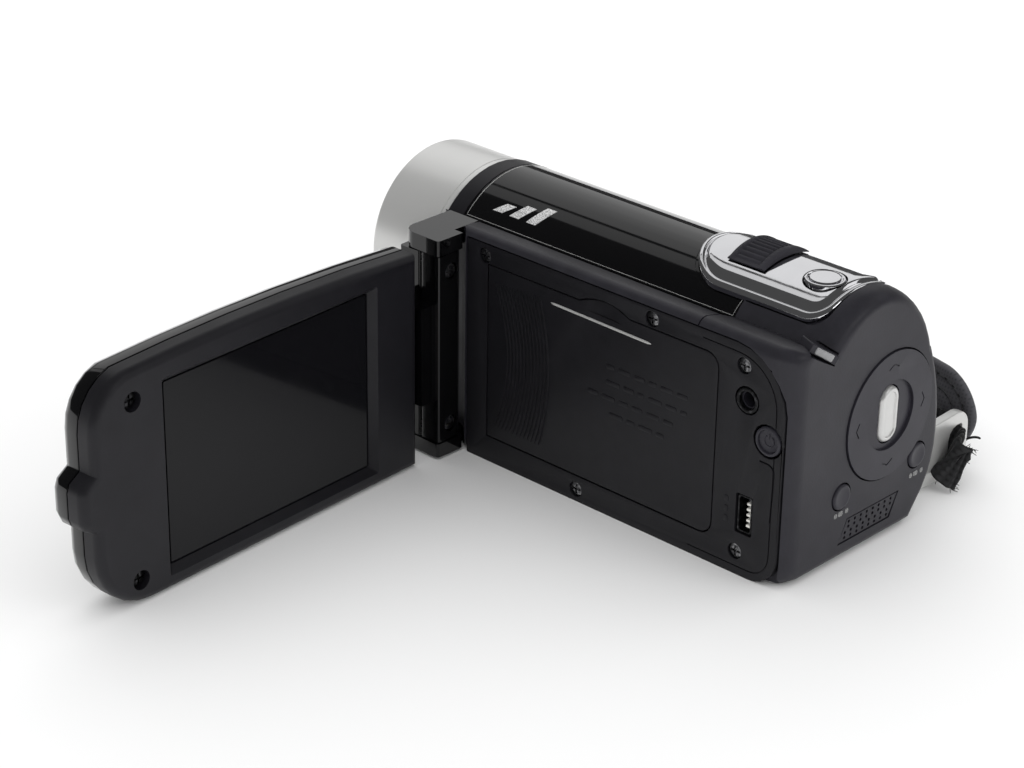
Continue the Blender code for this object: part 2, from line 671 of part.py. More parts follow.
def make_arm():
    """The arm that turns on the pins, in two halves held by two screws, with the tilt shaft in it."""
    turn = panel_turn()
    shaft_centre = (SWING_X, TILT_Z)
    halves = (
        ("hinge_arm", ARM_SPLIT_X, ARM_OUT_X, "gloss_black"),
        ("hinge_arm_cover", ARM_IN_X, ARM_SPLIT_X - GAP, "gloss_black"),
    )
    bore_y = (closed_y(-3.2), closed_y(8.0))
    bore = disc("arm_shaft_bore", SHAFT_R + 0.1, "Y", shaft_centre, *bore_y, steps=24, turn=turn)
    for name, x0, x1, look in halves:
        outer = x1 if name == "hinge_arm" else x0
        plan = rounded(x0, closed_y(-5.0), x1, closed_y(1.7), (0.4, 0.4, 1.6, 1.6), 3)
        half = slab(name, plan, "Z", ARM_LOW_Z, ARM_HIGH_Z, look, turn=turn)
        inset = -0.7 if outer == x1 else 0.6
        sides = sorted((outer + inset, x0 + 0.05 if outer == x1 else x1 - 0.05))
        house_low = (sides[0], closed_y(1.0), HOUSE_Z[0])
        house_high = (sides[1], closed_y(6.0), HOUSE_Z[1])
        join(half, block(name + "_house", house_low, house_high, turn=turn))
        cut(half, bore)
        for label, z in (("low", ARM_LOW_Z), ("high", ARM_HIGH_Z)):
            room_z = (z - PIN_REACH - 0.6, z + PIN_REACH + 0.6)
            pin_place = (SWING_X, SWING_Y)
            cut(half, disc(f"{name}_pin_room_{label}", PIN_R + 0.1, "Z", pin_place, *room_z, steps=20))
    cover = bpy.data.objects["hinge_arm_cover"]
    face = ARM_IN_X
    for label, z in zip(("lower", "upper"), ARM_SCREW_Z):
        place = (closed_y(ARM_SCREW_U), z)
        well_x = (face - 1, face + 1.7)
        cut(cover, disc("arm_screw_well_" + label, 1.75, "X", place, *well_x, steps=20, turn=turn))
        make_screw("arm_screw_" + label, place, 1.4, face + 0.3, face + 1.4, turn, facing=-1)
    disc("tilt_shaft", SHAFT_R, "Y", shaft_centre, closed_y(-2.8), closed_y(12.0), "steel", 24, turn=turn)


def panel_outline(inset=0.0):
    """The panel's outline in (y, z) while closed: square at the hinge, round at the far end, with a lobe."""
    u1 = PANEL_U0 + PANEL_LENGTH - inset
    low = TILT_Z - PANEL_HALF_H + inset
    top = TILT_Z + PANEL_HALF_H - inset
    lobe = PANEL_LENGTH + PANEL_U0 + LOBE_REACH - inset
    half = LOBE_HALF_H - inset * 0.5
    corner_low, corner_top = 12.0 - inset, 10.5 - inset
    spots = (66.0, CROWN_U, 38.0, 22.0, PANEL_U0 + inset)
    crown = [(u, top + 0.35 - 1.9 * ((u - CROWN_U) / 46.0) ** 2) for u in spots]
    points = [(PANEL_U0 + inset, low)]
    points += arc(u1 - corner_low, low + corner_low, corner_low, 270, 360, 6)
    points += [(u1, TILT_Z - half), (lobe - 0.6, TILT_Z - half + 1.6), (lobe, TILT_Z - half + 3.2)]
    points += [(lobe, TILT_Z + half - 3.2), (lobe - 0.6, TILT_Z + half - 1.6), (u1, TILT_Z + half)]
    points += arc(u1 - corner_top, top - corner_top, corner_top, 0, 90, 6)[:-1] + crown
    return [(closed_y(u), z) for u, z in points]


def window_slope(face, turn):
    """The air between the sloping walls round the glass, widening towards the face."""
    u0, u1 = (closed_y(u) for u in SCREEN_U)
    z0, z1 = SCREEN_Z
    rings = []
    for x, inset in ((face + GLASS_DEPTH, GLASS_SLOPE), (face - 0.5, -0.5 * GLASS_SLOPE / GLASS_DEPTH)):
        outline = rounded(u0 + inset, z0 + inset, u1 - inset, z1 - inset, 0.3, 1)
        rings.append(placed(turn, [(x, y, z) for y, z in outline]))
    return loft("window_slope", rings)


def make_panel():
    """Screen panel: bezel, glass, display module, glossy outer cover and two screws."""
    turn = panel_turn()
    face = SWING_X - PANEL_T / 2
    back = SWING_X + PANEL_T / 2
    part_x = face + BEZEL_T
    u0, u1 = (closed_y(u) for u in SCREEN_U)
    z0, z1 = SCREEN_Z
    slope = GLASS_SLOPE
    window = rounded(u0 + slope, z0 + slope, u1 - slope, z1 - slope, 0.3, 1)
    inner = slope + GAP
    glass = rounded(u0 + inner, z0 + inner, u1 - inner, z1 - inner, 0.2, 1)
    bore_y = (closed_y(5.0), closed_y(12.3))
    bore = disc("panel_shaft_bore", SHAFT_R + GAP, "Y", (SWING_X, TILT_Z), *bore_y, steps=24, turn=turn)
    bezel = slab("screen_bezel", panel_outline(), "X", face, part_x, "matte_black", (window,), turn)
    cut(bezel, bore)
    cut(bezel, window_slope(face, turn))
    slab("screen_glass", glass, "X", face + GLASS_DEPTH, part_x, "screen_glass", turn=turn)
    module_low = (face + 4.5, u0 - 0.5, z0 - 1.0)
    block("display_module", module_low, (face + 6.4, u1 + 0.5, z1 + 1.0), "satin_silver", turn)
    rings = []
    rounding = ((part_x + GAP, 0.0), (back - 2.6, 0.0), (back - 1.2, 0.5), (back - 0.3, 1.6), (back, 3.0))
    for x, inset in rounding:
        rings.append(placed(turn, [(x, y, z) for y, z in panel_outline(inset)]))
    cover = loft("screen_cover", rings, "gloss_black")
    room = [(u0 - 1.5, z0 - 2.0), (u1 + 1.5, z0 - 2.0), (u1 + 1.5, z1 + 2.0), (u0 - 1.5, z1 + 2.0)]
    cut(cover, slab("cover_room", room, "X", part_x - 1, back - 1.8, turn=turn))
    cut(cover, bore)
    for label, z in zip(("lower", "upper"), PANEL_SCREW_Z):
        place = (closed_y(PANEL_SCREW_U), z)
        well_x = (face - 1, face + 2.2)
        cut(bezel, disc("panel_screw_well_" + label, 1.9, "X", place, *well_x, steps=20, turn=turn))
        make_screw("panel_screw_" + label, place, 1.5, face + 1.0, face + 1.9, turn, facing=-1)


# ---------------------------------------------------------------- rear and top controls


def stadium(a, b, width, height, grow=0.0, steps=8):
    """An upright slot with round ends."""
    r = width / 2 + grow
    lift = (height - width) / 2
    return arc(a, b + lift, r, 0, 180, steps) + arc(a, b - lift, r, 180, 360, steps)


def make_rear_controls():
    """Direction pad, centre button, two round buttons, grille and speaker."""
    opening = stadium(*PAD_XZ, *OK_SIZE, GAP)
    rim = arc(*PAD_XZ, PAD_R, 0, 352.5, 47)
    pad = slab("direction_pad", rim, "Y", PAD_BACK_Y, REAR_Y + 0.3, "matte_black", (opening,))
    cut(pad, disc("pad_dish", 6.9, "Y", PAD_XZ, 57.7, REAR_Y + 2, steps=40))
    slab("centre_button", stadium(*PAD_XZ, *OK_SIZE), "Y", 54.6, 58.2, "satin_silver")
    for label, place in (("menu_button", MENU_XZ), ("mode_button", MODE_XZ)):
        disc(label, ROUND_BUTTON_R, "Y", place, 53.2, REAR_Y + 0.4, "matte_black", 24)
    holes = []
    for row in range(4):
        z = SPEAKER_Z[0] + 0.9 + row
        slant = 1.2 * (1 - 2 * (z - SPEAKER_Z[0]) / (SPEAKER_Z[1] - SPEAKER_Z[0]))
        for column in range(8):
            x = SPEAKER_X[0] + 1.3 + slant + 1.8 * column + 0.45 * (row % 2)
            holes.append(arc(x, z, 0.36, 0, 300, 5))
    slab("speaker_grille", grille_outline(GAP), "Y", REAR_Y - 1.8, REAR_Y - 0.1, "matte_black", holes)
    block("speaker", (-8.0, 49.2, 2.4), (6.6, 52.2, 10.0), "steel", bevel=0.8)


def top_plan(grow):
    """The chrome plate's plan, in (x, y), rounded in front."""
    x = TOP_PLATE_X + grow
    y0, y1 = TOP_PLATE_Y[0] - grow, TOP_PLATE_Y[1] + grow
    depth = x * 0.85
    corner = 3.0
    front = arc(0, y0 + depth, x, 180, 360, 16, radius_b=depth)
    right = arc(x - corner, y1 - corner, corner, 0, 90, 4)
    left = arc(corner - x, y1 - corner, corner, 90, 180, 4)
    return front + right + left


def top_plate_shape(name, inner, outer, grow, look=None):
    """A curved sheet over the barrel, trimmed to the chrome plate's plan."""
    band = barrel_arc(outer, 47, 133, 20) + barrel_arc(inner, 133, 47, 20)
    sheet = slab(name, band, "Y", TOP_PLATE_Y[0] - 2, TOP_PLATE_Y[1] + 2, look)
    trim = sheet.modifiers.new("trim", "BOOLEAN")
    trim.operation = "INTERSECT"
    trim.object = slab(name + "_plan", top_plan(grow), "Z", 30, 70)
    return sheet


def top_plate_well(name):
    """The seat of the chrome plate, as a cutter."""
    return top_plate_shape(name, TOP_PLATE_IN_R - GAP, 30.0, GAP)


def make_top_controls():
    """Chrome plate, zoom slider and shutter button."""
    plate = top_plate_shape("top_plate", TOP_PLATE_IN_R, PLATE_R, 0.0, "chrome")
    cut(plate, disc("shutter_hole", SHUTTER_R + GAP, "Z", SHUTTER_XY, 40, 60, steps=32))
    y0, y1 = SLIDER_Y
    middle = (y0 + y1) / 2
    cut(plate, block("slider_slot", (-3.8, middle - 1.2, 40), (3.8, middle + 1.2, 60)))
    arch_r = 11.4
    arch_half = math.degrees(math.asin(SLIDER_HALF / arch_r))
    under = PLATE_R + GAP
    half = math.degrees(math.asin(SLIDER_HALF / under))
    top = arc(0, SLIDER_TOP_Z - arch_r, arch_r, 90 - arch_half, 90 + arch_half, 14)
    arch = top + barrel_arc(under, 90 + half, 90 - half, 12)
    slider = slab("zoom_slider", arch, "Y", y0, y1, "matte_black")
    stem_low = (-1.0, middle - 0.8, BARREL_Z + TOP_PLATE_IN_R + 0.3)
    join(slider, block("slider_stem", stem_low, (1.0, middle + 0.8, 52.6)))
    disc("shutter_button", SHUTTER_R, "Z", SHUTTER_XY, 51.0, 52.7, "chrome", 32)


def make_indicator():
    """Clear light bar over the rear shoulder."""
    centre = Vector(LIGHT_XYZ) * MM
    tilt = Matrix.Rotation(math.radians(LIGHT_TILT_DEG), 4, "Y")
    yaw = Matrix.Rotation(math.radians(LIGHT_YAW_DEG), 4, "Z")
    place = Matrix.Translation(centre) @ yaw @ tilt
    cover = bpy.data.objects["rear_cover"]
    cut(cover, block("light_slot", (-3.6, -2.3, -1.2), (3.6, 6.0, 1.2), turn=place))
    block("indicator_light", (-3.3, -2.0, -0.9), (3.3, 2.1, 0.9), "clear", turn=place)


# ---------------------------------------------------------------- inside, base and strap


def make_inside():
    """Main board, lamp, microphone and the tripod bush."""
    block("main_board", (13.2, -12.0, 4.0), (14.6, 29.2, 23.0), "circuit_green")
    disc("front_lamp", LAMP_R, "Y", LAMP_XZ, COLLAR_FRONT_Y + 0.2, COLLAR_BACK_Y, "clear", 20)
    disc("microphone", 2.2, "Y", MIC_XZ, COLLAR_BACK_Y + GAP, COLLAR_BACK_Y + 2.6, "steel", 20)
    bush = disc("tripod_bush", TRIPOD_R, "Z", TRIPOD_XY, 0.2, 7.2, "brass", 24)
    cut(bush, disc("tripod_bore", 3.1, "Z", TRIPOD_XY, -1, 6.2, steps=24))
    floor_hole = disc("tripod_hole", TRIPOD_R + GAP, "Z", TRIPOD_XY, -1, 5, steps=24)
    cut(bpy.data.objects["right_casing"], floor_hole)


def smooth_path(points, steps):
    """Points read along a Catmull-Rom curve through the given plan points."""
    ends = [points[0]] + list(points) + [points[-1]]
    path = []
    for a, b, c, d in zip(ends, ends[1:], ends[2:], ends[3:]):
        for i in range(steps):
            t = i / steps
            blend = (-t + 2 * t**2 - t**3, 2 - 5 * t**2 + 3 * t**3, t + 4 * t**2 - 3 * t**3, t**3 - t**2)
            path.append(tuple(sum(w * p[k] for w, p in zip(blend, (a, b, c, d))) / 2 for k in (0, 1)))
    return path + [points[-1]]


def band(name, points, width, thickness, look, middle_z, steps=4, side=0.0):
    """A flat band standing on edge along a plan path, its middle moved sideways by side."""
    path = smooth_path(points, steps)
    rings = []
    for i, (x, y) in enumerate(path):
        ahead = path[min(i + 1, len(path) - 1)]
        behind = path[max(i - 1, 0)]
        run = Vector((ahead[0] - behind[0], ahead[1] - behind[1])).normalized()
        out = Vector((run[1], -run[0]))
        corners = ((-0.5, -0.5), (0.5, -0.5), (0.5, 0.5), (-0.5, 0.5))
        ring = []
        for across, up in corners:
            offset = out * (side + across * thickness)
            ring.append((x + offset[0], y + offset[1], middle_z + up * width))
        rings.append(ring)
    return loft(name, rings, look)


def root_bracket(name, casing, y, heights):
    """A seat in the casing for a bracket's root."""
    reach = BRACKET_HALF_T + GAP
    seat_low = (-30.0, y - reach, heights[0] - GAP)
    seat_high = (BRACKET_ROOT_X + GAP, y + reach, heights[1] + GAP)
    cut(bpy.data.objects[casing], block(name + "_seat", seat_low, seat_high))


def make_front_bracket():
    """The silver loop at the strap's front end."""
    y = BRACKET_FRONT_Y
    low, high = BRACKET_FRONT_Z
    outline = rounded(-31.0, low, BRACKET_ROOT_X, high, (0.3, 3.4, 3.0, 0.3), 4)
    hole = rounded(-28.4, low + 2.0, -24.0, high - 1.4, 1.4, 3)
    faces = (y - BRACKET_HALF_T, y + BRACKET_HALF_T)
    slab("strap_bracket_front", outline, "Y", *faces, "satin_silver", (hole,))
    root_bracket("strap_bracket_front", "right_casing", y, BRACKET_FRONT_Z)


def make_rear_bracket():
    """The silver plate at the strap's rear end, with a slot for the webbing at its tip."""
    y = BRACKET_REAR_Y
    low, high = BRACKET_REAR_Z
    outline = [(BRACKET_ROOT_X, high), (-28.0, 13.4), (-33.0, 13.6)]
    outline += arc(-36.0, 9.9, 3.8, 90, 180, 6) + arc(-38.4, 2.0, 1.4, 180, 270, 4)
    outline += [(-32.0, 0.6), (BRACKET_ROOT_X, low)]
    hole = rounded(-37.7, 1.9, -33.6, 10.9, (2.4, 0.5, 0.3, 0.3), 3)
    faces = (y - BRACKET_HALF_T, y + BRACKET_HALF_T)
    slab("strap_bracket_rear", outline, "Y", *faces, "satin_silver", (hole,))
    root_bracket("strap_bracket_rear", "rear_cover", y, BRACKET_REAR_Z)


def make_strap():
    """Two brackets, the webbing through each and the padded grip between them."""
    make_rear_bracket()
    make_front_bracket()
    band("strap_pad", PAD_PATH, PAD_WIDTH, PAD_THICK, "web_black", PAD_Z, side=PAD_THICK / 2)
    band("strap_web_rear", WEB_REAR_PATH, WEB_WIDTH - 1.0, 1.3, "web_black", WEB_REAR_Z)
    band("strap_web_front", WEB_FRONT_PATH, WEB_WIDTH, 1.3, "web_black", PAD_Z)


def set_origin(names, point):
    """Move the origins of moving pieces onto their joint, leaving their shapes where they are."""
    place = Vector(point) * MM
    for name in names:
        piece = bpy.data.objects[name]
        piece.data.transform(Matrix.Translation(-place))
        piece.location = place


def set_joint_origins():
    """Every moving piece has its origin on its joint's axis."""
    arm = ("hinge_arm", "hinge_arm_cover", "arm_screw_lower", "arm_screw_upper", "tilt_shaft")
    panel = ("screen_bezel", "screen_glass", "display_module", "screen_cover")
    set_origin(arm + panel + ("panel_screw_lower", "panel_screw_upper"), (SWING_X, SWING_Y, TILT_Z))
    set_origin(("battery_door",), (SIDE_X, 12.4, 23.6))
    set_origin(("memory_card",), (21.5, sum(CARD_Y) / 2, sum(CARD_Z) / 2))
    set_origin(("direction_pad", "centre_button"), (PAD_XZ[0], 57.1, PAD_XZ[1]))
    set_origin(("menu_button",), (MENU_XZ[0], REAR_Y, MENU_XZ[1]))
    set_origin(("mode_button",), (MODE_XZ[0], REAR_Y, MODE_XZ[1]))
    set_origin(("power_button",), (SIDE_X, *POWER_YZ))
    set_origin(("shutter_button",), (*SHUTTER_XY, 52.7))
    set_origin(("zoom_slider",), (0.0, sum(SLIDER_Y) / 2, BARREL_Z))


def build():
    """Make every piece."""
    start_scene()
    make_front_cover()
    make_left_casing()
    make_right_casing()
    make_barrel_cover()
    make_rear_cover()
    make_lens()
    make_side_plate()
    make_battery_bay()
    make_sockets()
    make_hinge()
    make_panel()
    make_rear_controls()
    make_top_controls()
    make_indicator()
    make_inside()
    make_strap()
    set_joint_origins()


build()
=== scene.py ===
"""Finished look of a compact camcorder with a swing-out screen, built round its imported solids.

Sizes are in millimetres. The frame: the lens looks along -Y, the screen side is +X, the strap side
is -X and +Z is up. Run as a script, it makes every piece through the add-on's own operators.
"""

import json
import math

import bmesh
import bpy
import numpy as np
from mathutils import Matrix, Vector


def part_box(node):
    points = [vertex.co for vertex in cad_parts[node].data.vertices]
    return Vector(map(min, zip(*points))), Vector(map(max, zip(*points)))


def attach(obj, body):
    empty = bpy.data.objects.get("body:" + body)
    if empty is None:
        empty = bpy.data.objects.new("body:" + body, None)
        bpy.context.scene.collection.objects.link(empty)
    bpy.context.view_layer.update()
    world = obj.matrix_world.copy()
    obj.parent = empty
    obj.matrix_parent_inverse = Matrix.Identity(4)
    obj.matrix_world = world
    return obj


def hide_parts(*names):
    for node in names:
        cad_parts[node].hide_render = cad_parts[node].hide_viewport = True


bl_info = {
    "name": "Compact Camcorder",
    "version": (1, 0, 0),
    "blender": (4, 5, 0),
    "location": "View3D > Sidebar > Camcorder",
    "description": "Makes the finished pieces, materials and stage of a compact camcorder",
    "category": "Add Mesh",
}

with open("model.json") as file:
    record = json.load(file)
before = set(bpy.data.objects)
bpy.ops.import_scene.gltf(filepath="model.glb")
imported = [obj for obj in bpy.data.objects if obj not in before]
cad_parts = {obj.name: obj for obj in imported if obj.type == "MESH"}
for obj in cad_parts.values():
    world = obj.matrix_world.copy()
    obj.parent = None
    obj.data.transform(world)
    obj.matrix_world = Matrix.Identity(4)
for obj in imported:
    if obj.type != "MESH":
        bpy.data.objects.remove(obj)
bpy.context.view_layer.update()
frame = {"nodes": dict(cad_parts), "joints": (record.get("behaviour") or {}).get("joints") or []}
NODES = frame["nodes"]
MM = 0.001


def ends(node):
    """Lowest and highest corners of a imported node, in millimetres."""
    low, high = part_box(node)
    return np.array(low) / MM, np.array(high) / MM


def centre_of(node, *axes):
    """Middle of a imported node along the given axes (0 is X), in millimetres."""
    low, high = ends(node)
    return ((low + high) / 2)[list(axes)]


def joint(name):
    """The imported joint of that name."""
    return next(j for j in frame["joints"] if j["name"] == name)


RING_LOW, RING_HIGH = ends("lens_ring")
COLLAR_HIGH = ends("front_cover")[1]
PLATE_LOW, PLATE_HIGH = ends("side_plate")
DOOR_LOW, DOOR_HIGH = ends("battery_door")
REAR_HIGH = ends("rear_cover")[1]
PAD_TOP = ends("direction_pad")[1][1]
OK_LOW, OK_HIGH = ends("centre_button")
TOP_LOW, TOP_HIGH = ends("top_plate")
SLIDER_LOW, SLIDER_HIGH = ends("zoom_slider")
SHUTTER_LOW, SHUTTER_HIGH = ends("shutter_button")
GLOSS_LOW, GLOSS_HIGH = ends("barrel_cover")
BARREL_Z = (RING_LOW[2] + RING_HIGH[2]) / 2
RING_R = (RING_HIGH[0] - RING_LOW[0]) / 2
BARREL_R = COLLAR_HIGH[2] - BARREL_Z
SIDE_X = PLATE_HIGH[0]
REAR_Y = REAR_HIGH[1]
SWING = np.array(joint("screen_swing")["pos_m"]) / MM
OPEN_DEG = joint("screen_swing")["range_deg"][1]


# ---------------------------------------------------------------- settings


class CamcorderSizes(bpy.types.PropertyGroup):
    """Sizes that may be changed before the pieces are made, in millimetres."""

    edge: bpy.props.FloatProperty(
        name="Eased edge",
        description="Width of the eased edges of moulded pieces",
        default=0.18, min=0.0, max=0.5,
    )
    rib_count: bpy.props.IntProperty(
        name="Door ribs",
        description="Curved grip ribs on the battery door",
        default=13, min=0, max=20,
    )
    rib_height: bpy.props.FloatProperty(
        name="Rib height",
        description="How far the door's ribs stand proud",
        default=0.26, min=0.0, max=0.5,
    )
    slider_ribs: bpy.props.IntProperty(
        name="Slider ribs",
        description="Ribs along the zoom slider",
        default=11, min=3, max=20,
    )
    pad_fill: bpy.props.FloatProperty(
        name="Pad fill",
        description="How full the grip pad is, 0 slack to 1 tight",
        default=0.6, min=0.0, max=1.0,
    )


class CamcorderLooks(bpy.types.PropertyGroup):
    """Colours that may be changed before the pieces are made."""

    casing: bpy.props.FloatVectorProperty(
        name="Casing",
        description="Colour of the matt casing",
        default=(0.0182, 0.0174, 0.0230), size=3, subtype="COLOR",
    )
    gloss: bpy.props.FloatVectorProperty(
        name="Gloss",
        description="Colour of the polished covers",
        default=(0.0035, 0.0035, 0.0042), size=3, subtype="COLOR",
    )
    silver: bpy.props.FloatVectorProperty(
        name="Silver",
        description="Colour of the satin silver pieces",
        default=(0.60, 0.60, 0.59), size=3, subtype="COLOR",
    )
    floor: bpy.props.FloatVectorProperty(
        name="Floor",
        description="Colour of the floor",
        default=(0.90, 0.90, 0.90), size=3, subtype="COLOR",
    )
    key_power: bpy.props.FloatProperty(
        name="Key light",
        description="Power of the large overhead light",
        default=17.0, min=0.0, unit="POWER",
    )
    dome: bpy.props.FloatProperty(
        name="Dome",
        description="Brightness of the even light from all round",
        default=1.08, min=0.0,
    )
    drape: bpy.props.FloatProperty(
        name="Drape",
        description="Brightness that the surroundings mirror with",
        default=0.07, min=0.0,
    )


# ---------------------------------------------------------------- shader tools


class Value:
    """A shader socket that takes ordinary arithmetic, adding Math nodes."""

    def __init__(self, bench, socket):
        self.bench = bench
        self.socket = socket

    def math(self, operation, *others):
        """A Math node on this value and others."""
        inputs = {0: self, **dict(enumerate(others, 1))}
        return self.bench.add("ShaderNodeMath", {"operation": operation}, 0, inputs)

    def __add__(self, other):
        return self.math("ADD", other)

    __radd__ = __add__

    def __mul__(self, other):
        return self.math("MULTIPLY", other)

    __rmul__ = __mul__

    def __sub__(self, other):
        return self.math("SUBTRACT", other)

    def __rsub__(self, other):
        return self.bench.add("ShaderNodeMath", {"operation": "SUBTRACT"}, 0, {0: other, 1: self})

    def __abs__(self):
        return self.math("ABSOLUTE")


class Bench:
    """One material's node tree, with a Principled shader ready to be fed."""

    def __init__(self, name):
        self.material = bpy.data.materials.new(name)
        self.material.use_nodes = True
        self.tree = self.material.node_tree
        self.shader = self.tree.nodes["Principled BSDF"]

    def add(self, kind, settings, output, inputs):
        """A node with its settings made first, then its sockets; returns one output as a Value."""
        node = self.tree.nodes.new(kind)
        for key, value in settings.items():
            if key == "stops":
                ramp = node.color_ramp
                while len(ramp.elements) < len(value):
                    ramp.elements.new(0.5)
                for element, (position, colour) in zip(ramp.elements, value):
                    element.position = position
                    element.color = (*colour, 1.0)
            else:
                setattr(node, key, value)
        for key, value in inputs.items():
            self.feed(node.inputs[key], value)
        return Value(self, node.outputs[output])

    def feed(self, socket, value):
        """Link a Value to a socket, or set a plain number, vector or colour on it."""
        if isinstance(value, Value):
            self.tree.links.new(value.socket, socket)
        elif socket.type == "RGBA" and len(value) == 3:
            socket.default_value = (*value, 1.0)
        else:
            socket.default_value = value

    def shade(self, **values):
        """Set the shader's sockets, named with underscores for spaces."""
        for key, value in values.items():
            self.feed(self.shader.inputs[key.replace("_", " ")], value)
        return self.material

    def place(self, scale=(1, 1, 1), turn=(0, 0, 0), kind="Object"):
        """Object coordinates, or the surface map with kind UV, stretched and turned."""
        where = self.add("ShaderNodeTexCoord", {}, kind, {})
        return self.add("ShaderNodeMapping", {}, 0, {"Vector": where, "Scale": scale, "Rotation": turn})

    def noise(self, scale, detail=2.0, rough=0.5, at=None):
        """Soft noise from 0 to 1."""
        inputs = {"Vector": at or self.place(), "Scale": scale, "Detail": detail, "Roughness": rough}
        return self.add("ShaderNodeTexNoise", {}, "Fac", inputs)

    def cells(self, scale):
        """Distance to the nearest cell centre, for pebbled grain."""
        inputs = {"Vector": self.place(), "Scale": scale}
        return self.add("ShaderNodeTexVoronoi", {"feature": "F1"}, "Distance", inputs)

    def axis(self, index, kind="Object"):
        """One coordinate of the place on the piece."""
        where = self.add("ShaderNodeTexCoord", {}, kind, {})
        return self.add("ShaderNodeSeparateXYZ", {}, index, {0: where})

    def spread(self, value, low, high, to_low=0.0, to_high=1.0):
        """The value's range mapped smoothly onto another."""
        settings = {"interpolation_type": "SMOOTHSTEP"}
        inputs = {0: value, 1: low, 2: high, 3: to_low, 4: to_high}
        return self.add("ShaderNodeMapRange", settings, 0, inputs)

    def mix(self, share, first, second):
        """A colour between two, by share."""
        node = self.tree.nodes.new("ShaderNodeMix")
        node.data_type = "RGBA"
        self.feed(node.inputs[0], share)
        self.feed(node.inputs[6], first)
        self.feed(node.inputs[7], second)
        return Value(self, node.outputs[2])

    def bump(self, height, depth_mm, strength):
        """A normal bent by a height from 0 to 1 that stands for depth_mm."""
        inputs = {"Height": height, "Distance": depth_mm * MM, "Strength": strength}
        return self.add("ShaderNodeBump", {}, 0, inputs)


MATERIALS = {}


def material(maker):
    """The material of one finish, made once."""
    if maker.__name__ not in MATERIALS:
        MATERIALS[maker.__name__] = maker(bpy.context.scene.camcorder_looks)
    return MATERIALS[maker.__name__]


def tint(colour, factor):
    """A colour made darker or paler by a factor."""
    return tuple(min(1.0, factor * c) for c in colour)


# Share of a grain cell that its grain fills, how much paler rubbed patches are, and the gloss's unevenness.
CELL_SHARE = 0.7
PATCH_LIFT = 1.22
FLOW_SPREAD = 0.06


def moulded(name, base, rough, grain_mm, depth_mm):
    """Moulded plastic: pebbled grain, faint flow marks in the gloss, and paler rubbed patches."""
    bench = Bench(name)
    grain = bench.cells(CELL_SHARE / (grain_mm * MM))
    flow = bench.noise(55, 3, 0.6)
    patch = bench.noise(260, 4, 0.6)
    height = bench.spread(grain, 0.05, 0.7, 1.0, 0.0) + patch * 0.25
    return bench.shade(
        Base_Color=bench.mix(bench.spread(patch, 0.35, 0.75), base, tint(base, PATCH_LIFT)),
        Roughness=bench.spread(flow, 0.2, 0.8, rough - FLOW_SPREAD, rough + FLOW_SPREAD) + patch * 0.05,
        Specular_IOR_Level=0.30,
        Normal=bench.bump(height, depth_mm, 0.55),
    )


def casing_black(looks):
    """Satin black casing plastic with a fine grain."""
    return moulded("casing_black", tint(looks.casing, 1.0), 0.42, 0.30, 0.012)


def bezel_black(looks):
    """Smoother satin black of the screen's inner face."""
    return moulded("bezel_black", tint(looks.casing, 0.50), 0.44, 0.22, 0.006)


def plate_black(looks):
    """Satin black of the side plate and battery door."""
    return moulded("plate_black", tint(looks.casing, 0.42), 0.50, 0.28, 0.010)


def control_black(looks):
    """Slightly brighter satin black of the buttons."""
    return moulded("control_black", tint(looks.casing, 1.25), 0.38, 0.25, 0.008)


def grip_black(looks):
    """Dull soft plastic of the zoom slider."""
    return moulded("grip_black", tint(looks.casing, 1.3), 0.58, 0.22, 0.012)


def gloss_black(looks):
    """Polished black plastic: lacquer depth, faint smears and hairline scratches."""
    bench = Bench("gloss_black")
    smear = bench.noise(42, 4, 0.6)
    hair = bench.noise(900, 2, 0.5, at=bench.place((0.03, 1.0, 0.25), (0.2, 0.4, 0.6)))
    wave = bench.noise(90, 1, 0.4)
    return bench.shade(
        Base_Color=bench.mix(smear, tint(looks.gloss, 0.4), tint(looks.gloss, 0.7)),
        Roughness=bench.spread(smear, 0.35, 0.85, 0.045, 0.13) + bench.spread(hair, 0.66, 0.8, 0.0, 0.10),
        Specular_IOR_Level=0.42,
        Coat_Weight=0.08,
        Coat_Roughness=0.03,
        Normal=bench.bump(wave + hair * 0.1, 0.02, 0.25),
    )


def lens_silver(looks):
    """Satin silver of the lens ring, brushed round its axis."""
    bench = Bench("lens_silver")
    along_axis = bench.place((1.0, 55.0, 1.0))
    brush = bench.noise(70, 3, 0.6, at=along_axis)
    cloud = bench.noise(35, 3, 0.5)
    return bench.shade(
        Base_Color=bench.mix(cloud, tint(looks.silver, 1.05), tint(looks.silver, 1.15)),
        Metallic=0.52,
        Roughness=bench.spread(brush, 0.3, 0.7, 0.31, 0.35),
        Normal=bench.bump(brush, 0.002, 0.12),
    )


def cast_silver(looks):
    """Plain cast silver of the strap's loops and the centre button."""
    bench = Bench("cast_silver")
    tumble = bench.noise(700, 3, 0.6)
    cloud = bench.noise(120, 2, 0.5)
    return bench.shade(
        Base_Color=bench.mix(cloud, tint(looks.silver, 0.98), tint(looks.silver, 1.10)),
        Metallic=0.60,
        Roughness=bench.spread(tumble, 0.3, 0.7, 0.28, 0.36),
        Normal=bench.bump(tumble, 0.002, 0.15),
    )


def chrome(looks):
    """Bright plating with the slight waviness and dust of a plated moulding."""
    bench = Bench("chrome")
    wave = bench.noise(160, 2, 0.5)
    dust = bench.noise(2200, 3, 0.7)
    return bench.shade(
        Base_Color=bench.mix(wave, (0.74, 0.74, 0.76), (0.86, 0.86, 0.88)),
        Metallic=1.0,
        Roughness=bench.spread(wave, 0.3, 0.8, 0.05, 0.11) + bench.spread(dust, 0.62, 0.8, 0.0, 0.15),
        Normal=bench.bump(wave, 0.05, 0.35),
    )


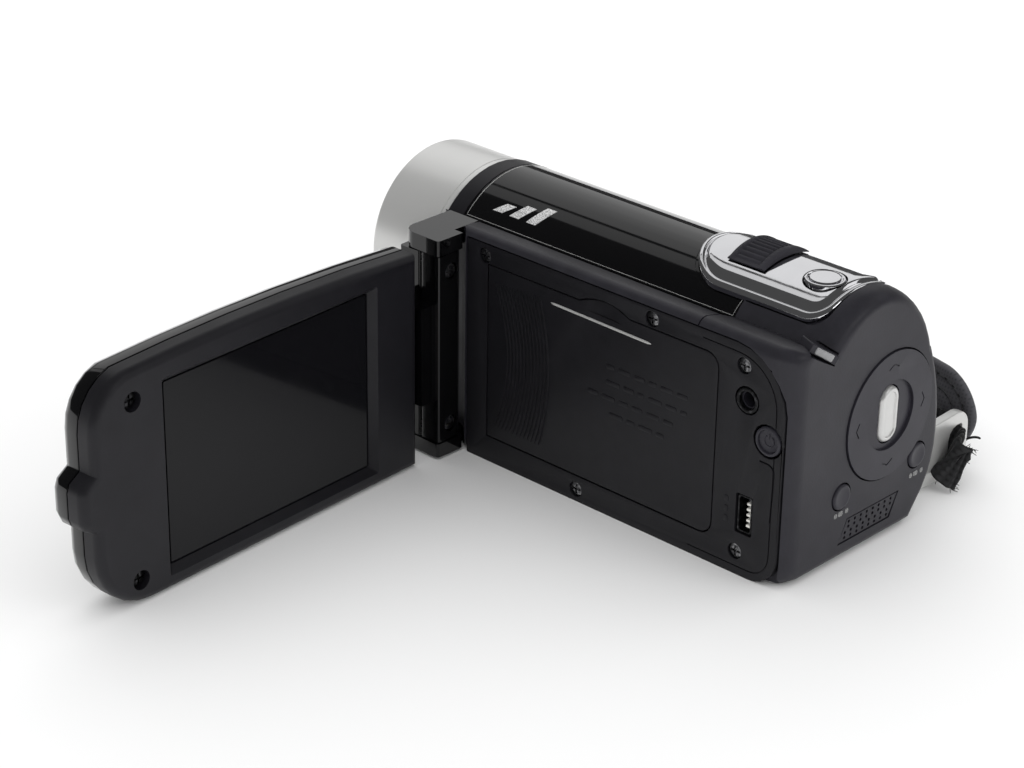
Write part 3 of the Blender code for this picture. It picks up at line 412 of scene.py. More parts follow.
def screw_steel(looks):
    """Blackened steel of the screw heads, rubbed bright on the high spots."""
    bench = Bench("screw_steel")
    rub = bench.noise(1500, 3, 0.6)
    return bench.shade(
        Base_Color=bench.mix(bench.spread(rub, 0.4, 0.7), (0.10, 0.10, 0.105), (0.40, 0.40, 0.41)),
        Metallic=1.0,
        Roughness=bench.spread(rub, 0.3, 0.8, 0.38, 0.22),
        Normal=bench.bump(rub, 0.01, 0.6),
    )


def dark_screw(looks):
    """Black-finished screws at the bottom of the screen's wells."""
    bench = Bench("dark_screw")
    rub = bench.noise(1300, 3, 0.6)
    return bench.shade(
        Base_Color=bench.mix(bench.spread(rub, 0.45, 0.75), (0.010, 0.010, 0.011), (0.07, 0.07, 0.075)),
        Metallic=0.8,
        Roughness=bench.spread(rub, 0.3, 0.8, 0.42, 0.28),
        Normal=bench.bump(rub, 0.008, 0.5),
    )


def bright_steel(looks):
    """Bright rolled steel of the socket shell, pins and cans."""
    bench = Bench("bright_steel")
    rolled = bench.noise(260, 3, 0.6, at=bench.place((1, 1, 14)))
    return bench.shade(
        Base_Color=bench.mix(rolled, (0.42, 0.42, 0.43), (0.62, 0.62, 0.63)),
        Metallic=1.0,
        Roughness=bench.spread(rolled, 0.3, 0.7, 0.20, 0.34),
        Normal=bench.bump(rolled, 0.004, 0.5),
    )


def contact_gold(looks):
    """Plated contacts."""
    bench = Bench("contact_gold")
    wear = bench.noise(1800, 2, 0.5)
    return bench.shade(
        Base_Color=bench.mix(wear, (0.74, 0.73, 0.68), (0.90, 0.89, 0.85)),
        Metallic=0.35,
        Roughness=bench.spread(wear, 0.3, 0.7, 0.18, 0.32),
    )


def turned_brass(looks):
    """Brass bush with turning marks."""
    bench = Bench("turned_brass")
    marks = bench.noise(120, 2, 0.5, at=bench.place((1, 1, 30)))
    return bench.shade(
        Base_Color=bench.mix(marks, (0.50, 0.36, 0.14), (0.68, 0.52, 0.25)),
        Metallic=1.0,
        Roughness=bench.spread(marks, 0.3, 0.7, 0.22, 0.40),
        Normal=bench.bump(marks, 0.006, 0.5),
    )


def screen_dark(looks):
    """Dark display glass: near-black, with a faint cast and fingerprints in the gloss."""
    bench = Bench("screen_dark")
    smear = bench.noise(38, 5, 0.6)
    dust = bench.noise(3000, 2, 0.6)
    return bench.shade(
        Base_Color=bench.mix(smear, (0.0040, 0.0040, 0.0048), (0.0065, 0.0065, 0.0080)),
        Roughness=bench.spread(smear, 0.35, 0.8, 0.07, 0.16) + bench.spread(dust, 0.70, 0.8, 0.0, 0.2),
        Specular_IOR_Level=0.20,
        Coat_Weight=0.06,
        Coat_Roughness=0.05,
    )


def coated_glass(looks):
    """Coated lens glass: dark, with the coating's violet reflection painted into its colour, stronger where
    the glass is seen at a slant.
    """
    bench = Bench("coated_glass")
    # Painted reflection: the colour turns violet with the viewing angle, standing for the light the coating
    # reflects.
    edge = bench.add("ShaderNodeLayerWeight", {}, "Facing", {"Blend": 0.35})
    film = bench.noise(60, 2, 0.5)
    return bench.shade(
        Base_Color=bench.mix(edge, (0.004, 0.004, 0.010), (0.05, 0.012, 0.09)),
        Roughness=bench.spread(film, 0.3, 0.8, 0.01, 0.03),
        Specular_IOR_Level=0.8,
        Coat_Weight=1.0,
        Coat_Roughness=0.01,
        Coat_Tint=(0.75, 0.65, 1.0),
    )


def lamp_clear(looks):
    """Clear moulded plastic with a frosted core."""
    bench = Bench("lamp_clear")
    frost = bench.noise(900, 3, 0.6)
    return bench.shade(
        Base_Color=bench.mix(frost, (0.20, 0.20, 0.21), (0.42, 0.42, 0.43)),
        Roughness=bench.spread(frost, 0.3, 0.8, 0.10, 0.30),
        Transmission_Weight=0.25,
        Coat_Weight=0.8,
        Coat_Roughness=0.04,
        Normal=bench.bump(frost, 0.02, 0.5),
    )


def circuit_green(looks):
    """Circuit board: green mask, copper tracks under it and tinned pads."""
    bench = Bench("circuit_green")
    track = bench.add(
        "ShaderNodeTexBrick", {"offset": 0.5}, "Fac",
        {"Vector": bench.place(), "Scale": 480.0, "Mortar Size": 0.04},
    )
    pads = bench.cells(520)
    tinned = 1 - bench.spread(pads, 0.10, 0.16)
    mask = bench.mix(track, (0.012, 0.085, 0.035), (0.03, 0.16, 0.07))
    return bench.shade(
        Base_Color=bench.mix(tinned, mask, (0.62, 0.62, 0.60)),
        Metallic=tinned,
        Roughness=bench.spread(tinned, 0.0, 1.0, 0.38, 0.25),
        Normal=bench.bump(track + tinned, 0.05, 0.5),
    )


def cell_wrap(looks):
    """Shrink-wrapped cell: blue-grey film with creases towards its ends."""
    bench = Bench("cell_wrap")
    crease = bench.noise(150, 4, 0.6, at=bench.place((1, 0.3, 1)))
    return bench.shade(
        Base_Color=bench.mix(crease, (0.05, 0.06, 0.08), (0.11, 0.12, 0.15)),
        Roughness=bench.spread(crease, 0.3, 0.8, 0.22, 0.40),
        Normal=bench.bump(crease, 0.10, 0.5),
    )


def printed(name, scale, dark, pale):
    """Printed ink, slightly broken by the grain under it."""
    bench = Bench(name)
    break_up = bench.noise(scale, 2, 0.6)
    return bench.shade(
        Base_Color=bench.mix(bench.spread(break_up, 0.35, 0.6), dark, pale),
        Roughness=bench.spread(break_up, 0.3, 0.7, 0.45, 0.60),
    )


def label_white(looks):
    """Pale printed marks."""
    return printed("label_white", 4200, (0.20, 0.20, 0.20), (0.66, 0.66, 0.66))


def label_grey(looks):
    """Dimmer printed marks."""
    return printed("label_grey", 4600, (0.05, 0.05, 0.05), (0.26, 0.26, 0.26))


def webbing(looks):
    """Woven nylon tape on its own surface map: ribs across, picks along, and a slight sheen."""
    bench = Bench("webbing")
    across = bench.axis(0, "UV")
    along = bench.axis(1, "UV")
    ribs = abs((across * (math.pi * 7)).math("SINE"))
    pick = abs((along * 5200.0 + ribs * 1.2).math("SINE"))
    fuzz = bench.noise(5200, 3, 0.7)
    share = ribs * 0.35 + pick * 0.35 + fuzz * 0.3
    return bench.shade(
        Base_Color=bench.mix(share, (0.0010, 0.0010, 0.0012), (0.030, 0.030, 0.032)),
        Roughness=bench.spread(fuzz, 0.3, 0.7, 0.72, 0.90),
        Sheen_Weight=0.12,
        Sheen_Roughness=0.4,
        Specular_IOR_Level=0.3,
        Normal=bench.bump(pick * 0.7 + fuzz * 0.3, 0.07, 0.9),
    )


def pad_cloth(looks):
    """Close woven cloth of the grip pad on its surface map: crossed threads and a soft nap."""
    bench = Bench("pad_cloth")
    warp = abs((bench.axis(0, "UV") * 4200.0).math("SINE"))
    weft = abs((bench.axis(1, "UV") * 4200.0).math("SINE"))
    weave = warp.math("MAXIMUM", weft)
    nap = bench.noise(2600, 3, 0.7)
    colour = bench.mix(weave * 0.5 + nap * 0.5, (0.010, 0.010, 0.012), (0.078, 0.077, 0.086))
    return bench.shade(
        Base_Color=colour,
        Roughness=bench.spread(nap, 0.3, 0.7, 0.66, 0.84),
        Sheen_Weight=0.15,
        Sheen_Roughness=0.45,
        Specular_IOR_Level=0.3,
        Normal=bench.bump(weave * 0.6 + nap * 0.4, 0.04, 0.8),
    )


def thread(looks):
    """Stitching thread: tight slanting twist."""
    bench = Bench("thread")
    twist = abs((bench.axis(1, "UV") * 9000.0 + bench.axis(0, "UV") * 3.0).math("SINE"))
    return bench.shade(
        Base_Color=bench.mix(twist, (0.006, 0.006, 0.006), (0.035, 0.035, 0.037)),
        Roughness=bench.spread(twist, 0.0, 1.0, 0.60, 0.78),
        Normal=bench.bump(twist, 0.03, 0.8),
    )


def floor_pale(looks):
    """Plain pale floor with the faintest unevenness."""
    bench = Bench("floor_pale")
    cloud = bench.noise(4, 2, 0.5)
    return bench.shade(
        Base_Color=bench.mix(cloud, tint(looks.floor, 0.99), tint(looks.floor, 1.0)),
        Roughness=bench.spread(cloud, 0.3, 0.7, 0.80, 0.86),
        Specular_IOR_Level=0.2,
    )


# ---------------------------------------------------------------- mesh tools

# Distances under which points merge, angles in degrees, and how far a bead narrows at its ends.
MERGE_MM = 0.0005
COPY_MERGE_MM = 0.002
FLAT_DEG = 0.6
EASE_DEG = 38
EASE_SEGMENTS = 3
SMOOTH_DEG = 32
BEAD_TIP = 0.35
TINY = 1e-9


def rotate(points, degrees, pivot):
    """Points turned about the upright line through pivot (x, y)."""
    c, s = math.cos(math.radians(degrees)), math.sin(math.radians(degrees))
    out = np.array(points, float)
    x, y = out[..., 0] - pivot[0], out[..., 1] - pivot[1]
    out[..., 0] = pivot[0] + c * x - s * y
    out[..., 1] = pivot[1] + s * x + c * y
    return out


def opened(points):
    """Points laid out with the screen closed, swung to its open rest."""
    return rotate(points, -OPEN_DEG, SWING[:2])


def mesh_from(name, points, faces, uv=None):
    """A mesh object from millimetre points and faces, doubles merged and faces turned outwards."""
    mesh = bpy.data.meshes.new(name)
    mesh.from_pydata((np.asarray(points) * MM).tolist(), [], faces)
    if uv is not None:
        layer = mesh.uv_layers.new(name="surface")
        corners = np.zeros(len(mesh.loops), int)
        mesh.loops.foreach_get("vertex_index", corners)
        layer.data.foreach_set("uv", np.asarray(uv, float)[corners].ravel())
    item = bpy.data.objects.new(name, mesh)
    bpy.context.scene.collection.objects.link(item)
    heal(item)
    return item


def heal(item):
    """Merge doubles and turn every face outwards."""
    shape = bmesh.new()
    shape.from_mesh(item.data)
    bmesh.ops.remove_doubles(shape, verts=shape.verts, dist=MERGE_MM * MM)
    bmesh.ops.recalc_face_normals(shape, faces=shape.faces)
    shape.to_mesh(item.data)
    shape.free()


def grid_faces(rows, columns, wrap=True, first=0):
    """Quads between rows of points; each row closes on itself when wrap is set."""
    i = np.arange(rows - 1)[:, None]
    j = np.arange(columns if wrap else columns - 1)[None, :]
    k = (j + 1) % columns
    quads = np.stack([i * columns + j, i * columns + k, (i + 1) * columns + k, (i + 1) * columns + j], -1)
    return (quads.reshape(-1, 4) + first).tolist()


def lofted(name, rings, caps=True, uv=None):
    """A skin through rings (n, m, 3), closed with a flat face at each end when caps is set."""
    rings = np.asarray(rings, float)
    n, m = rings.shape[:2]
    faces = grid_faces(n, m)
    if caps:
        faces += [list(range(m))[::-1], list(range((n - 1) * m, n * m))]
    return mesh_from(name, rings.reshape(-1, 3), faces, uv)


def arc(cx, cy, radius, start, end, steps, radius_y=None):
    """Points (n, 2) on a round or oval arc, angles in degrees."""
    angle = np.radians(np.linspace(start, end, steps + 1))
    tall = radius if radius_y is None else radius_y
    return np.stack([cx + radius * np.cos(angle), cy + tall * np.sin(angle)], -1)


def rounded_box(x0, y0, x1, y1, radius, steps=8):
    """Outline of a rectangle with round corners; radius is one value or four from the upper right."""
    r = radius if isinstance(radius, (tuple, list)) else (radius,) * 4
    return np.concatenate([
        arc(x1 - r[0], y1 - r[0], r[0], 0, 90, steps),
        arc(x0 + r[1], y1 - r[1], r[1], 90, 180, steps),
        arc(x0 + r[2], y0 + r[2], r[2], 180, 270, steps),
        arc(x1 - r[3], y0 + r[3], r[3], 270, 360, steps),
    ])


def stadium(cx, cy, width, height, steps):
    """Outline of an upright slot with round ends."""
    r = width / 2
    half = (height - width) / 2
    return np.concatenate([arc(cx, cy + half, r, 0, 180, steps), arc(cx, cy - half, r, 180, 360, steps)])


def lengths_along(path):
    """Distance along a path from its start to each of its points."""
    return np.concatenate([[0], np.cumsum(np.linalg.norm(np.diff(path, axis=0), axis=1))])


def even(outline, count):
    """A closed outline sampled again at equal steps."""
    loop = np.vstack([outline, outline[:1]])
    run = lengths_along(loop)
    at = np.linspace(0, run[-1], count, endpoint=False)
    return np.stack([np.interp(at, run, loop[:, k]) for k in (0, 1)], -1)


def unit(rows):
    """Rows of vectors scaled to length 1."""
    return rows / np.maximum(np.linalg.norm(rows, axis=1, keepdims=True), TINY)


def drawn_in(outline, depth):
    """A closed anticlockwise outline moved inwards by depth along its corner normals."""
    ahead = np.roll(outline, -1, 0) - outline
    behind = outline - np.roll(outline, 1, 0)
    run = unit(unit(ahead) + unit(behind))
    inward = np.stack([-run[:, 1], run[:, 0]], -1)
    turn = np.clip((unit(ahead) * run).sum(1, keepdims=True), 0.5, 1)
    return outline + inward * depth / turn


def on_plane(flat, axis, level):
    """Drawn points (n, 2) put across an axis at a level.

    X takes (y, z), Y takes (x, z) and Z takes (x, y).
    """
    flat = np.asarray(flat, float)
    level = np.full(flat.shape[:-1], level, float)
    order = {"X": (level, flat[..., 0], flat[..., 1]), "Y": (flat[..., 0], level, flat[..., 1])}
    return np.stack(order.get(axis, (flat[..., 0], flat[..., 1], level)), -1)


def prism(name, outline, axis, low, high, eased=0.0, steps=4, swing=False):
    """An outline carried from low to high, its top edge rounded over by eased."""
    rings = [on_plane(outline, axis, low)]
    for angle in np.radians(np.linspace(0, 90, steps + 1)) if eased else ():
        ring = drawn_in(outline, eased * (1 - math.cos(angle)))
        rings.append(on_plane(ring, axis, high - eased * (1 - math.sin(angle))))
    if not eased:
        rings.append(on_plane(outline, axis, high))
    rings = np.array(rings)
    return lofted(name, opened(rings) if swing else rings)


def terraced(name, outline, axis, rows):
    """An outline carried through rows of (inset, level): drawn in by the inset and set at the level."""
    return lofted(name, [on_plane(drawn_in(outline, inset), axis, level) for inset, level in rows])


def symmetric_ring(half, across):
    """A closed ring from its right half, mirrored in x, its last edge split into across equal parts."""
    half = np.asarray(half, float)
    mirror = half[::-1] * [-1, 1]
    share = np.linspace(0, 1, across + 1)[1:-1, None]
    return np.concatenate([half, half[-1] * (1 - share) + mirror[0] * share, mirror[:-1]])


def fill_rows(ring, count, across):
    """Rows (count, across + 1, 2) across a symmetric ring of points, from its tip to its straight end."""
    right = ring[:count]
    left = np.concatenate([ring[:1], ring[count + across - 1:][::-1]])
    share = np.linspace(0, 1, across + 1)[None, :, None]
    rows = right[:, None] * (1 - share) + left[:, None] * share
    rows[-1] = ring[count - 1:count + across]
    return rows


def skin(name, ring_rows, place, fill_count, across, uv_scale=None):
    """A closed plate: rings from its underside over its edge to its top, both ends filled by rows across.

    ring_rows holds (ring, level) pairs and place(plan, level) turns plan points into space.
    """
    rings = np.array([place(ring, level) for ring, level in ring_rows])
    points = [rings.reshape(-1, 3)]
    plans = [np.array([ring for ring, _ in ring_rows]).reshape(-1, 2)]
    faces = grid_faces(*rings.shape[:2])
    first = rings.shape[0] * rings.shape[1]
    for ring, level in (ring_rows[0], ring_rows[-1]):
        rows = fill_rows(ring, fill_count, across)
        points.append(place(rows, level).reshape(-1, 3))
        plans.append(rows.reshape(-1, 2))
        faces += grid_faces(fill_count, across + 1, wrap=False, first=first)
        first += fill_count * (across + 1)
    uv = None if uv_scale is None else np.concatenate(plans) * uv_scale
    return mesh_from(name, np.concatenate(points), faces, uv)


def swept(name, path, radius, sides=8, flat=1.0, up=(0, 0, 1)):
    """A bead along a path (n, 3) with closed, narrowed ends.

    Its section is an oval: radius across, and radius times flat towards up.
    """
    path = np.asarray(path, float)
    run = unit(np.gradient(path, axis=0))
    side = unit(np.cross(run, np.asarray(up, float)))
    high = np.cross(side, run)
    angle = np.linspace(0, 2 * math.pi, sides, endpoint=False)
    size = np.full(len(path), radius)
    size[[0, -1]] *= BEAD_TIP
    width, height = np.cos(angle)[None, :, None], (flat * np.sin(angle))[None, :, None]
    offset = side[:, None] * width + high[:, None] * height
    return lofted(name, path[:, None] + offset * size[:, None, None])


def spun(profile, centre, axis, steps):
    """Rings (n, steps, 3) of a profile of (radius, distance) turned about an axis through centre."""
    profile = np.asarray(profile, float)
    angle = np.linspace(0, 2 * math.pi, steps, endpoint=False)
    a = centre[0] + profile[:, :1] * np.cos(angle)
    b = centre[1] + profile[:, :1] * np.sin(angle)
    return on_plane(np.stack([a, b], -1), axis, profile[:, 1:])


def turned(name, profile, centre, axis, steps):
    """A ring-shaped solid: a closed profile turned about an axis."""
    rings = spun(profile, centre, axis, steps)
    return lofted(name, np.concatenate([rings, rings[:1]]), caps=False)


def dome(name, profile, centre, axis, steps, swing=False):
    """A solid turned form whose profile starts and ends on the axis."""
    rings = spun(profile, centre, axis, steps)
    return lofted(name, opened(rings) if swing else rings)


def together(name, items):
    """Several objects joined into one."""
    shape = bmesh.new()
    for item in items:
        shape.from_mesh(item.data)
        bpy.data.objects.remove(item, do_unlink=True)
    mesh = bpy.data.meshes.new(name)
    shape.to_mesh(mesh)
    shape.free()
    joined = bpy.data.objects.new(name, mesh)
    bpy.context.scene.collection.objects.link(joined)
    return joined


def carve(item, *cutters):
    """Take the cutters away from an object."""
    for cutter in cutters:
        boolean = item.modifiers.new("carve", "BOOLEAN")
        boolean.operation = "DIFFERENCE"
        boolean.solver = "EXACT"
        boolean.object = cutter
    applied(item)
    for cutter in cutters:
        bpy.data.objects.remove(cutter, do_unlink=True)
    return item


def applied(item):
    """Replace an object's mesh with what its modifiers make of it."""
    bpy.context.view_layer.update()
    graph = bpy.context.evaluated_depsgraph_get()
    mesh = bpy.data.meshes.new_from_object(item.evaluated_get(graph))
    item.modifiers.clear()
    item.data = mesh
    return item


def ease(item, width):
    """Round an object's sharp edges over and apply it."""
    bevel = item.modifiers.new("ease", "BEVEL")
    bevel.width = width * MM
    bevel.segments = EASE_SEGMENTS
    bevel.limit_method = "ANGLE"
    bevel.angle_limit = math.radians(EASE_DEG)
    bevel.harden_normals = False
    bevel.miter_outer = "MITER_ARC"
    return applied(item)


def copied(node):
    """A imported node's mesh copied, its loose triangles merged and its flat faces joined up."""
    mesh = bpy.data.meshes.new(node + "_look")
    shape = bmesh.new()
    shape.from_mesh(NODES[node].data)
    bmesh.ops.remove_doubles(shape, verts=shape.verts, dist=COPY_MERGE_MM * MM)
    bmesh.ops.dissolve_limit(
        shape,
        angle_limit=math.radians(FLAT_DEG),
        verts=shape.verts,
        edges=shape.edges,
        use_dissolve_boundaries=False,
    )
    shape.to_mesh(mesh)
    shape.free()
    item = bpy.data.objects.new(node + "_look", mesh)
    bpy.context.scene.collection.objects.link(item)
    return item


def piece(item, body, look, slot, *replaced, smooth=SMOOTH_DEG):
    """Give a finished piece its material, shading and body, and hide what it stands for."""
    item.data.materials.clear()
    item.data.materials.append(material(look))
    item.data.shade_smooth()
    item.data.set_sharp_from_angle(angle=math.radians(smooth))
    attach(item, body)
    if replaced:
        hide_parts(*replaced)
    return item


def repaint(look, *nodes):
    """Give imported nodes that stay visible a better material."""
    for node in nodes:
        data = NODES[node].data
        data.materials.clear()
        data.materials.append(material(look))


def flatten_shading(item, angle=SMOOTH_DEG):
    """Let the large faces decide the shading, so that flat faces stay flat beside their rounded edges."""
    item.data.shade_smooth()
    item.data.set_sharp_from_angle(angle=math.radians(angle))
    weigh = item.modifiers.new("weigh", "WEIGHTED_NORMAL")
    weigh.keep_sharp = True
    weigh.weight = 100
    return item


def eased_copy(node, body, look, slot, width=None):
    """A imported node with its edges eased, standing for the node."""
    edge = bpy.context.scene.camcorder_sizes.edge if width is None else width
    item = copied(node)
    if edge:
        ease(item, edge)
    return flatten_shading(piece(item, body, look, slot, node))


# ---------------------------------------------------------------- lens

# Radii and depths in millimetres; a seat or waist line is (inset from the ring's radius, depth).
RING_ROLL = 0.8
FILTER_SEAT = ((1.6, 0.0), (1.9, 0.35), (1.9, 1.2), (2.1, 1.3))
WAIST_LINE = ((0.0, 0.0), (0.0, 1.15), (0.12, 1.2), (0.12, 1.4), (0.0, 1.45))
CONE_STEPS = 9
CONE_RIM = 0.5
CONE_START = 0.35
CONE_FOOT = 2.4
CONE_BOTTOM_R = 11.6
CONE_CORE_R = 11.2
GLASS_CROWN_R = 42.0


def make_lens_ring():
    """Silver ring: a turned wall with a rolled front edge, a shallow waist line and a filter seat inside."""
    front, back = RING_LOW[1], RING_HIGH[1]
    nose = arc(RING_R - RING_ROLL, front + RING_ROLL, RING_ROLL, 0, -90, 8)
    seat = [(RING_R - inset, front + depth) for inset, depth in FILTER_SEAT]
    seat.append((RING_R - FILTER_SEAT[-1][0], back))
    waist = [(RING_R - inset, back - depth) for inset, depth in WAIST_LINE]
    ring = turned("lens_ring_look", np.vstack([waist, nose, seat]), (0, BARREL_Z), "Y", 160)
    piece(ring, "body", lens_silver, "satin_silver", "lens_ring")


def make_lens_inside():
    """Stepped black cone and the domed front glass in its retaining ring."""
    low, high = ends("lens_bezel")
    r = (high[0] - low[0]) / 2
    mouth = r - CONE_RIM
    ends_of_steps = np.repeat(np.linspace(0, 1, CONE_STEPS + 1), 2)
    inwards, along = ends_of_steps[1:-1], ends_of_steps[:-2]
    depth = high[1] - low[1] - CONE_FOOT
    cone = np.stack([mouth - (mouth - CONE_BOTTOM_R) * inwards, low[1] + CONE_START + depth * along], -1)
    rim = np.array([(r, high[1]), (r, low[1] + 0.2), (r - 0.2, low[1]), (mouth, low[1])])
    core = np.array([(CONE_CORE_R, high[1] - 1.9), (CONE_CORE_R, high[1])])
    bezel = turned("lens_bezel_look", np.vstack([rim, cone, core]), (0, BARREL_Z), "Y", 120)
    piece(bezel, "body", casing_black, "matte_black", "lens_bezel", smooth=25)
    low, high = ends("front_glass")
    r = (high[0] - low[0]) / 2
    rho = np.linspace(0, r, 24)
    face = low[1] + 0.15 + GLASS_CROWN_R - np.sqrt(GLASS_CROWN_R**2 - rho**2)
    back = [(r, high[1] - 0.2), (r - 0.2, high[1]), (0, high[1])]
    profile = np.vstack([np.stack([rho, face], -1), back])
    glass = dome("front_glass_look", profile, (0, BARREL_Z), "Y", 96)
    piece(glass, "body", coated_glass, "lens_glass", "front_glass")
    repaint(casing_black, "lens_tube")
    repaint(coated_glass, "rear_lens", "image_sensor")
    repaint(circuit_green, "sensor_board", "main_board")


# ---------------------------------------------------------------- casing

# The silver bead that paints the light caught along the cover's edges, and the slanted bars of the zoom mark:
# angles in degrees round the barrel.
EDGE_HIGHLIGHT_R = 0.06
EDGE_HIGHLIGHT_MARGIN = 0.5
BAR_TALL_DEG = (7.0, 10.5, 14.0)
BAR_LOW_DEG = 51.5
BAR_START = 5.6
BAR_PITCH = 4.4
BAR_WIDE = 2.4
BAR_SLANT = 2.2


def make_casing():
    """Front cover, the two shells and the rear cover, with their edges eased."""
    eased_copy("front_cover", "body", bezel_black, "matte_black", 0.35)
    eased_copy("left_casing", "body", casing_black, "matte_black", 0.2)
    eased_copy("right_casing", "body", casing_black, "matte_black", 0.2)
    eased_copy("rear_cover", "body", casing_black, "matte_black", 0.15)


def make_barrel_cover():
    """Polished cover over the barrel, with a fine silver bead along its front and lower edges that paints the
    light those edges catch.
    """
    eased_copy("barrel_cover", "body", gloss_black, "gloss_black", 0.15)
    make_cover_edge_highlight()
    make_level_mark()


def cover_point(degrees, y, proud=0.0):
    """A point on the polished cover: its angle round the barrel above the horizontal, and its y."""
    angle = np.radians(degrees)
    r = BARREL_R + proud
    ones = np.ones_like(angle + y)
    return np.stack([r * np.cos(angle) * ones, y * ones, BARREL_Z + r * np.sin(angle) * ones], -1)


def make_cover_edge_highlight():
    """Painted highlight: a fine silver bead round the cover's front edge, along its low edge and up its rear,
    standing for the light caught on those edges.
    """
    low_deg = math.degrees(math.acos(GLOSS_HIGH[0] / BARREL_R)) + 1.2
    y0, y1 = GLOSS_LOW[1] + EDGE_HIGHLIGHT_MARGIN, GLOSS_HIGH[1] - EDGE_HIGHLIGHT_MARGIN
    front = cover_point(np.linspace(160, low_deg, 90), y0)
    side = cover_point(low_deg, np.linspace(y0, y1, 40)[1:])
    rear = cover_point(np.linspace(low_deg, low_deg + 12, 8)[1:], y1)
    path = np.vstack([front, side, rear])
    outward = unit(path * [1, 0, 1] - [0, 0, BARREL_Z])
    # The bead is silver so that it shows as the bright line that the cover's edges reflect.
    piece(swept("cover_edge_highlight", path, EDGE_HIGHLIGHT_R, 6, 0.7, up=outward), "body", cast_silver, "satin_silver")


def make_level_mark():
    """Generic zoom mark on the cover: three slanted bars that grow towards the rear."""
    bars = []
    up = np.linspace(0, 1, 8)[:, None]
    for i, tall in enumerate(BAR_TALL_DEG):
        start = GLOSS_LOW[1] + BAR_START + BAR_PITCH * i
        y = start + np.array([0.0, BAR_WIDE]) + BAR_SLANT * up
        angle = BAR_LOW_DEG + tall * up + 0 * y
        ring = np.concatenate([cover_point(angle, y, 0.05), cover_point(angle, y, -0.2)[:, ::-1]], 1)
        bars.append(lofted(f"level_bar_{i}", ring))
    piece(together("level_mark", bars), "body", label_white, "satin_silver")


# ---------------------------------------------------------------- side plate, door and sockets

# Millimetres; a legend row is (right end y, z, bar lengths), and the strip's points are (y, z).
PLATE_REAR_R = 11.0
PLATE_FOOT_R = 6.0
BORDER_INSET = 1.7
STRIP_TOP = (51.2, 24.6)
STRIP_TURN = (52.9, 22.9)
STRIP_FOOT = (54.3, 13.2)
SLOT_LONG = 0.72
SLOT_WIDE = 0.15
SLOT_DEEP = 0.42
PLATE_SCREW_R = 1.42
RIB_R = 0.17
RIB_MARGIN = 2.6
RIB_TOP_MARGIN = 4.6
RIB_SPREAD = 11.7
RIB_BOW = 3.4
# Where the silver ridge under the door's scoop starts and ends along y; its silver paints the highlight the
# ridge catches.
RIDGE_HIGHLIGHT_START = 16.3
RIDGE_HIGHLIGHT_END = 41.0
LEGEND_ROWS = (
    (34.2, 30.8, (2.6, 3.0, 2.0)),
    (34.2, 27.6, (1.6, 2.6, 3.4)),
    (31.0, 24.4, (2.4, 3.2, 2.6)),
    (29.0, 21.2, (2.0, 3.4)),
)
JACK_SLEEVE_R = 1.72
CONTACTS = 5
CONTACT_PITCH = 1.1
MARK_TALL = 1.3
KEY_GAP = 0.16
SIGN_R = 1.05
SIGN_BEAD = 0.12


def groove(name, path, width, depth, axis="X", level=SIDE_X):
    """A cutter for a fine line across an axis: a ribbon with leaning sides along drawn points."""
    path = np.asarray(path, float)
    run = unit(np.gradient(path, axis=0))
    side = np.stack([-run[:, 1], run[:, 0]], -1) * width / 2
    inner = [on_plane(path + side, axis, level - depth), on_plane(path - side, axis, level - depth)]
    outer = [on_plane(path - side * 1.25, axis, level + 0.3), on_plane(path + side * 1.25, axis, level + 0.3)]
    return lofted(name, np.stack(inner + outer, 1))


def make_side_plate():
    """The side plate with its engraved lines: a rear border step and the strip below the power button."""
    item = copied("side_plate")
    y0, y1, top = PLATE_LOW[1], PLATE_HIGH[1], PLATE_HIGH[2]
    high, low = PLATE_REAR_R, PLATE_FOOT_R
    border = np.vstack([
        [(y0 + 58.5, top - BORDER_INSET + 0.1)],
        arc(y1 - high, top - high, high - BORDER_INSET, 90, 0, 14),
        arc(y1 - low, low, low - BORDER_INSET, 0, -90, 10),
        [(y0 + 57.0, BORDER_INSET)],
    ])
    strip = np.vstack([[STRIP_TOP], arc(*STRIP_TURN, 1.7, 90, 0, 6), [STRIP_FOOT]])
    carve(
        item,
        groove("border_groove", resampled(border, 70), 0.22, 0.25),
        groove("strip_groove", resampled(strip, 24), 0.34, 0.35),
    )
    ease(item, 0.12)
    piece(item, "body", plate_black, "matte_black", "side_plate")
    make_plate_screws()


def resampled(path, count):
    """An open path sampled again at equal steps."""
    path = np.asarray(path, float)
    run = lengths_along(path)
    at = np.linspace(0, run[-1], count)
    return np.stack([np.interp(at, run, path[:, k]) for k in range(path.shape[1])], -1)


def screw_head(name, centre, axis, face, radius, outward, swing=False):
    """A pan-head cross screw: a domed turned head with two crossed slots."""
    rho = np.linspace(0, radius, 10)
    top = face - outward * (0.22 * (rho / radius) ** 2)
    back = face - outward * 0.7
    profile = np.vstack([np.stack([rho, top], -1), [(radius, back), (0, back)]])
    head = dome(name, profile, centre, axis, 32, swing)
    low, high = sorted((face - outward * SLOT_DEEP, face + outward * 0.3))
    slots = []
    for i, (a, b) in enumerate(((SLOT_LONG, SLOT_WIDE), (SLOT_WIDE, SLOT_LONG))):
        wide, tall = a * radius, b * radius
        outline = rounded_box(centre[0] - wide, centre[1] - tall, centre[0] + wide, centre[1] + tall, 0.05, 1)
        slots.append(prism(f"{name}_slot_{i}", outline, axis, low, high, swing=swing))
    return carve(head, *slots)


def make_plate_screws():
    """The five screws of the side plate in their wells."""
    for i in range(1, 6):
        node = f"plate_screw_{i}"
        centre = centre_of(node, 1, 2)
        head = screw_head(f"plate_screw_look_{i}", centre, "X", SIDE_X - 0.2, PLATE_SCREW_R, 1)
        piece(head, "body", screw_steel, "steel", node)


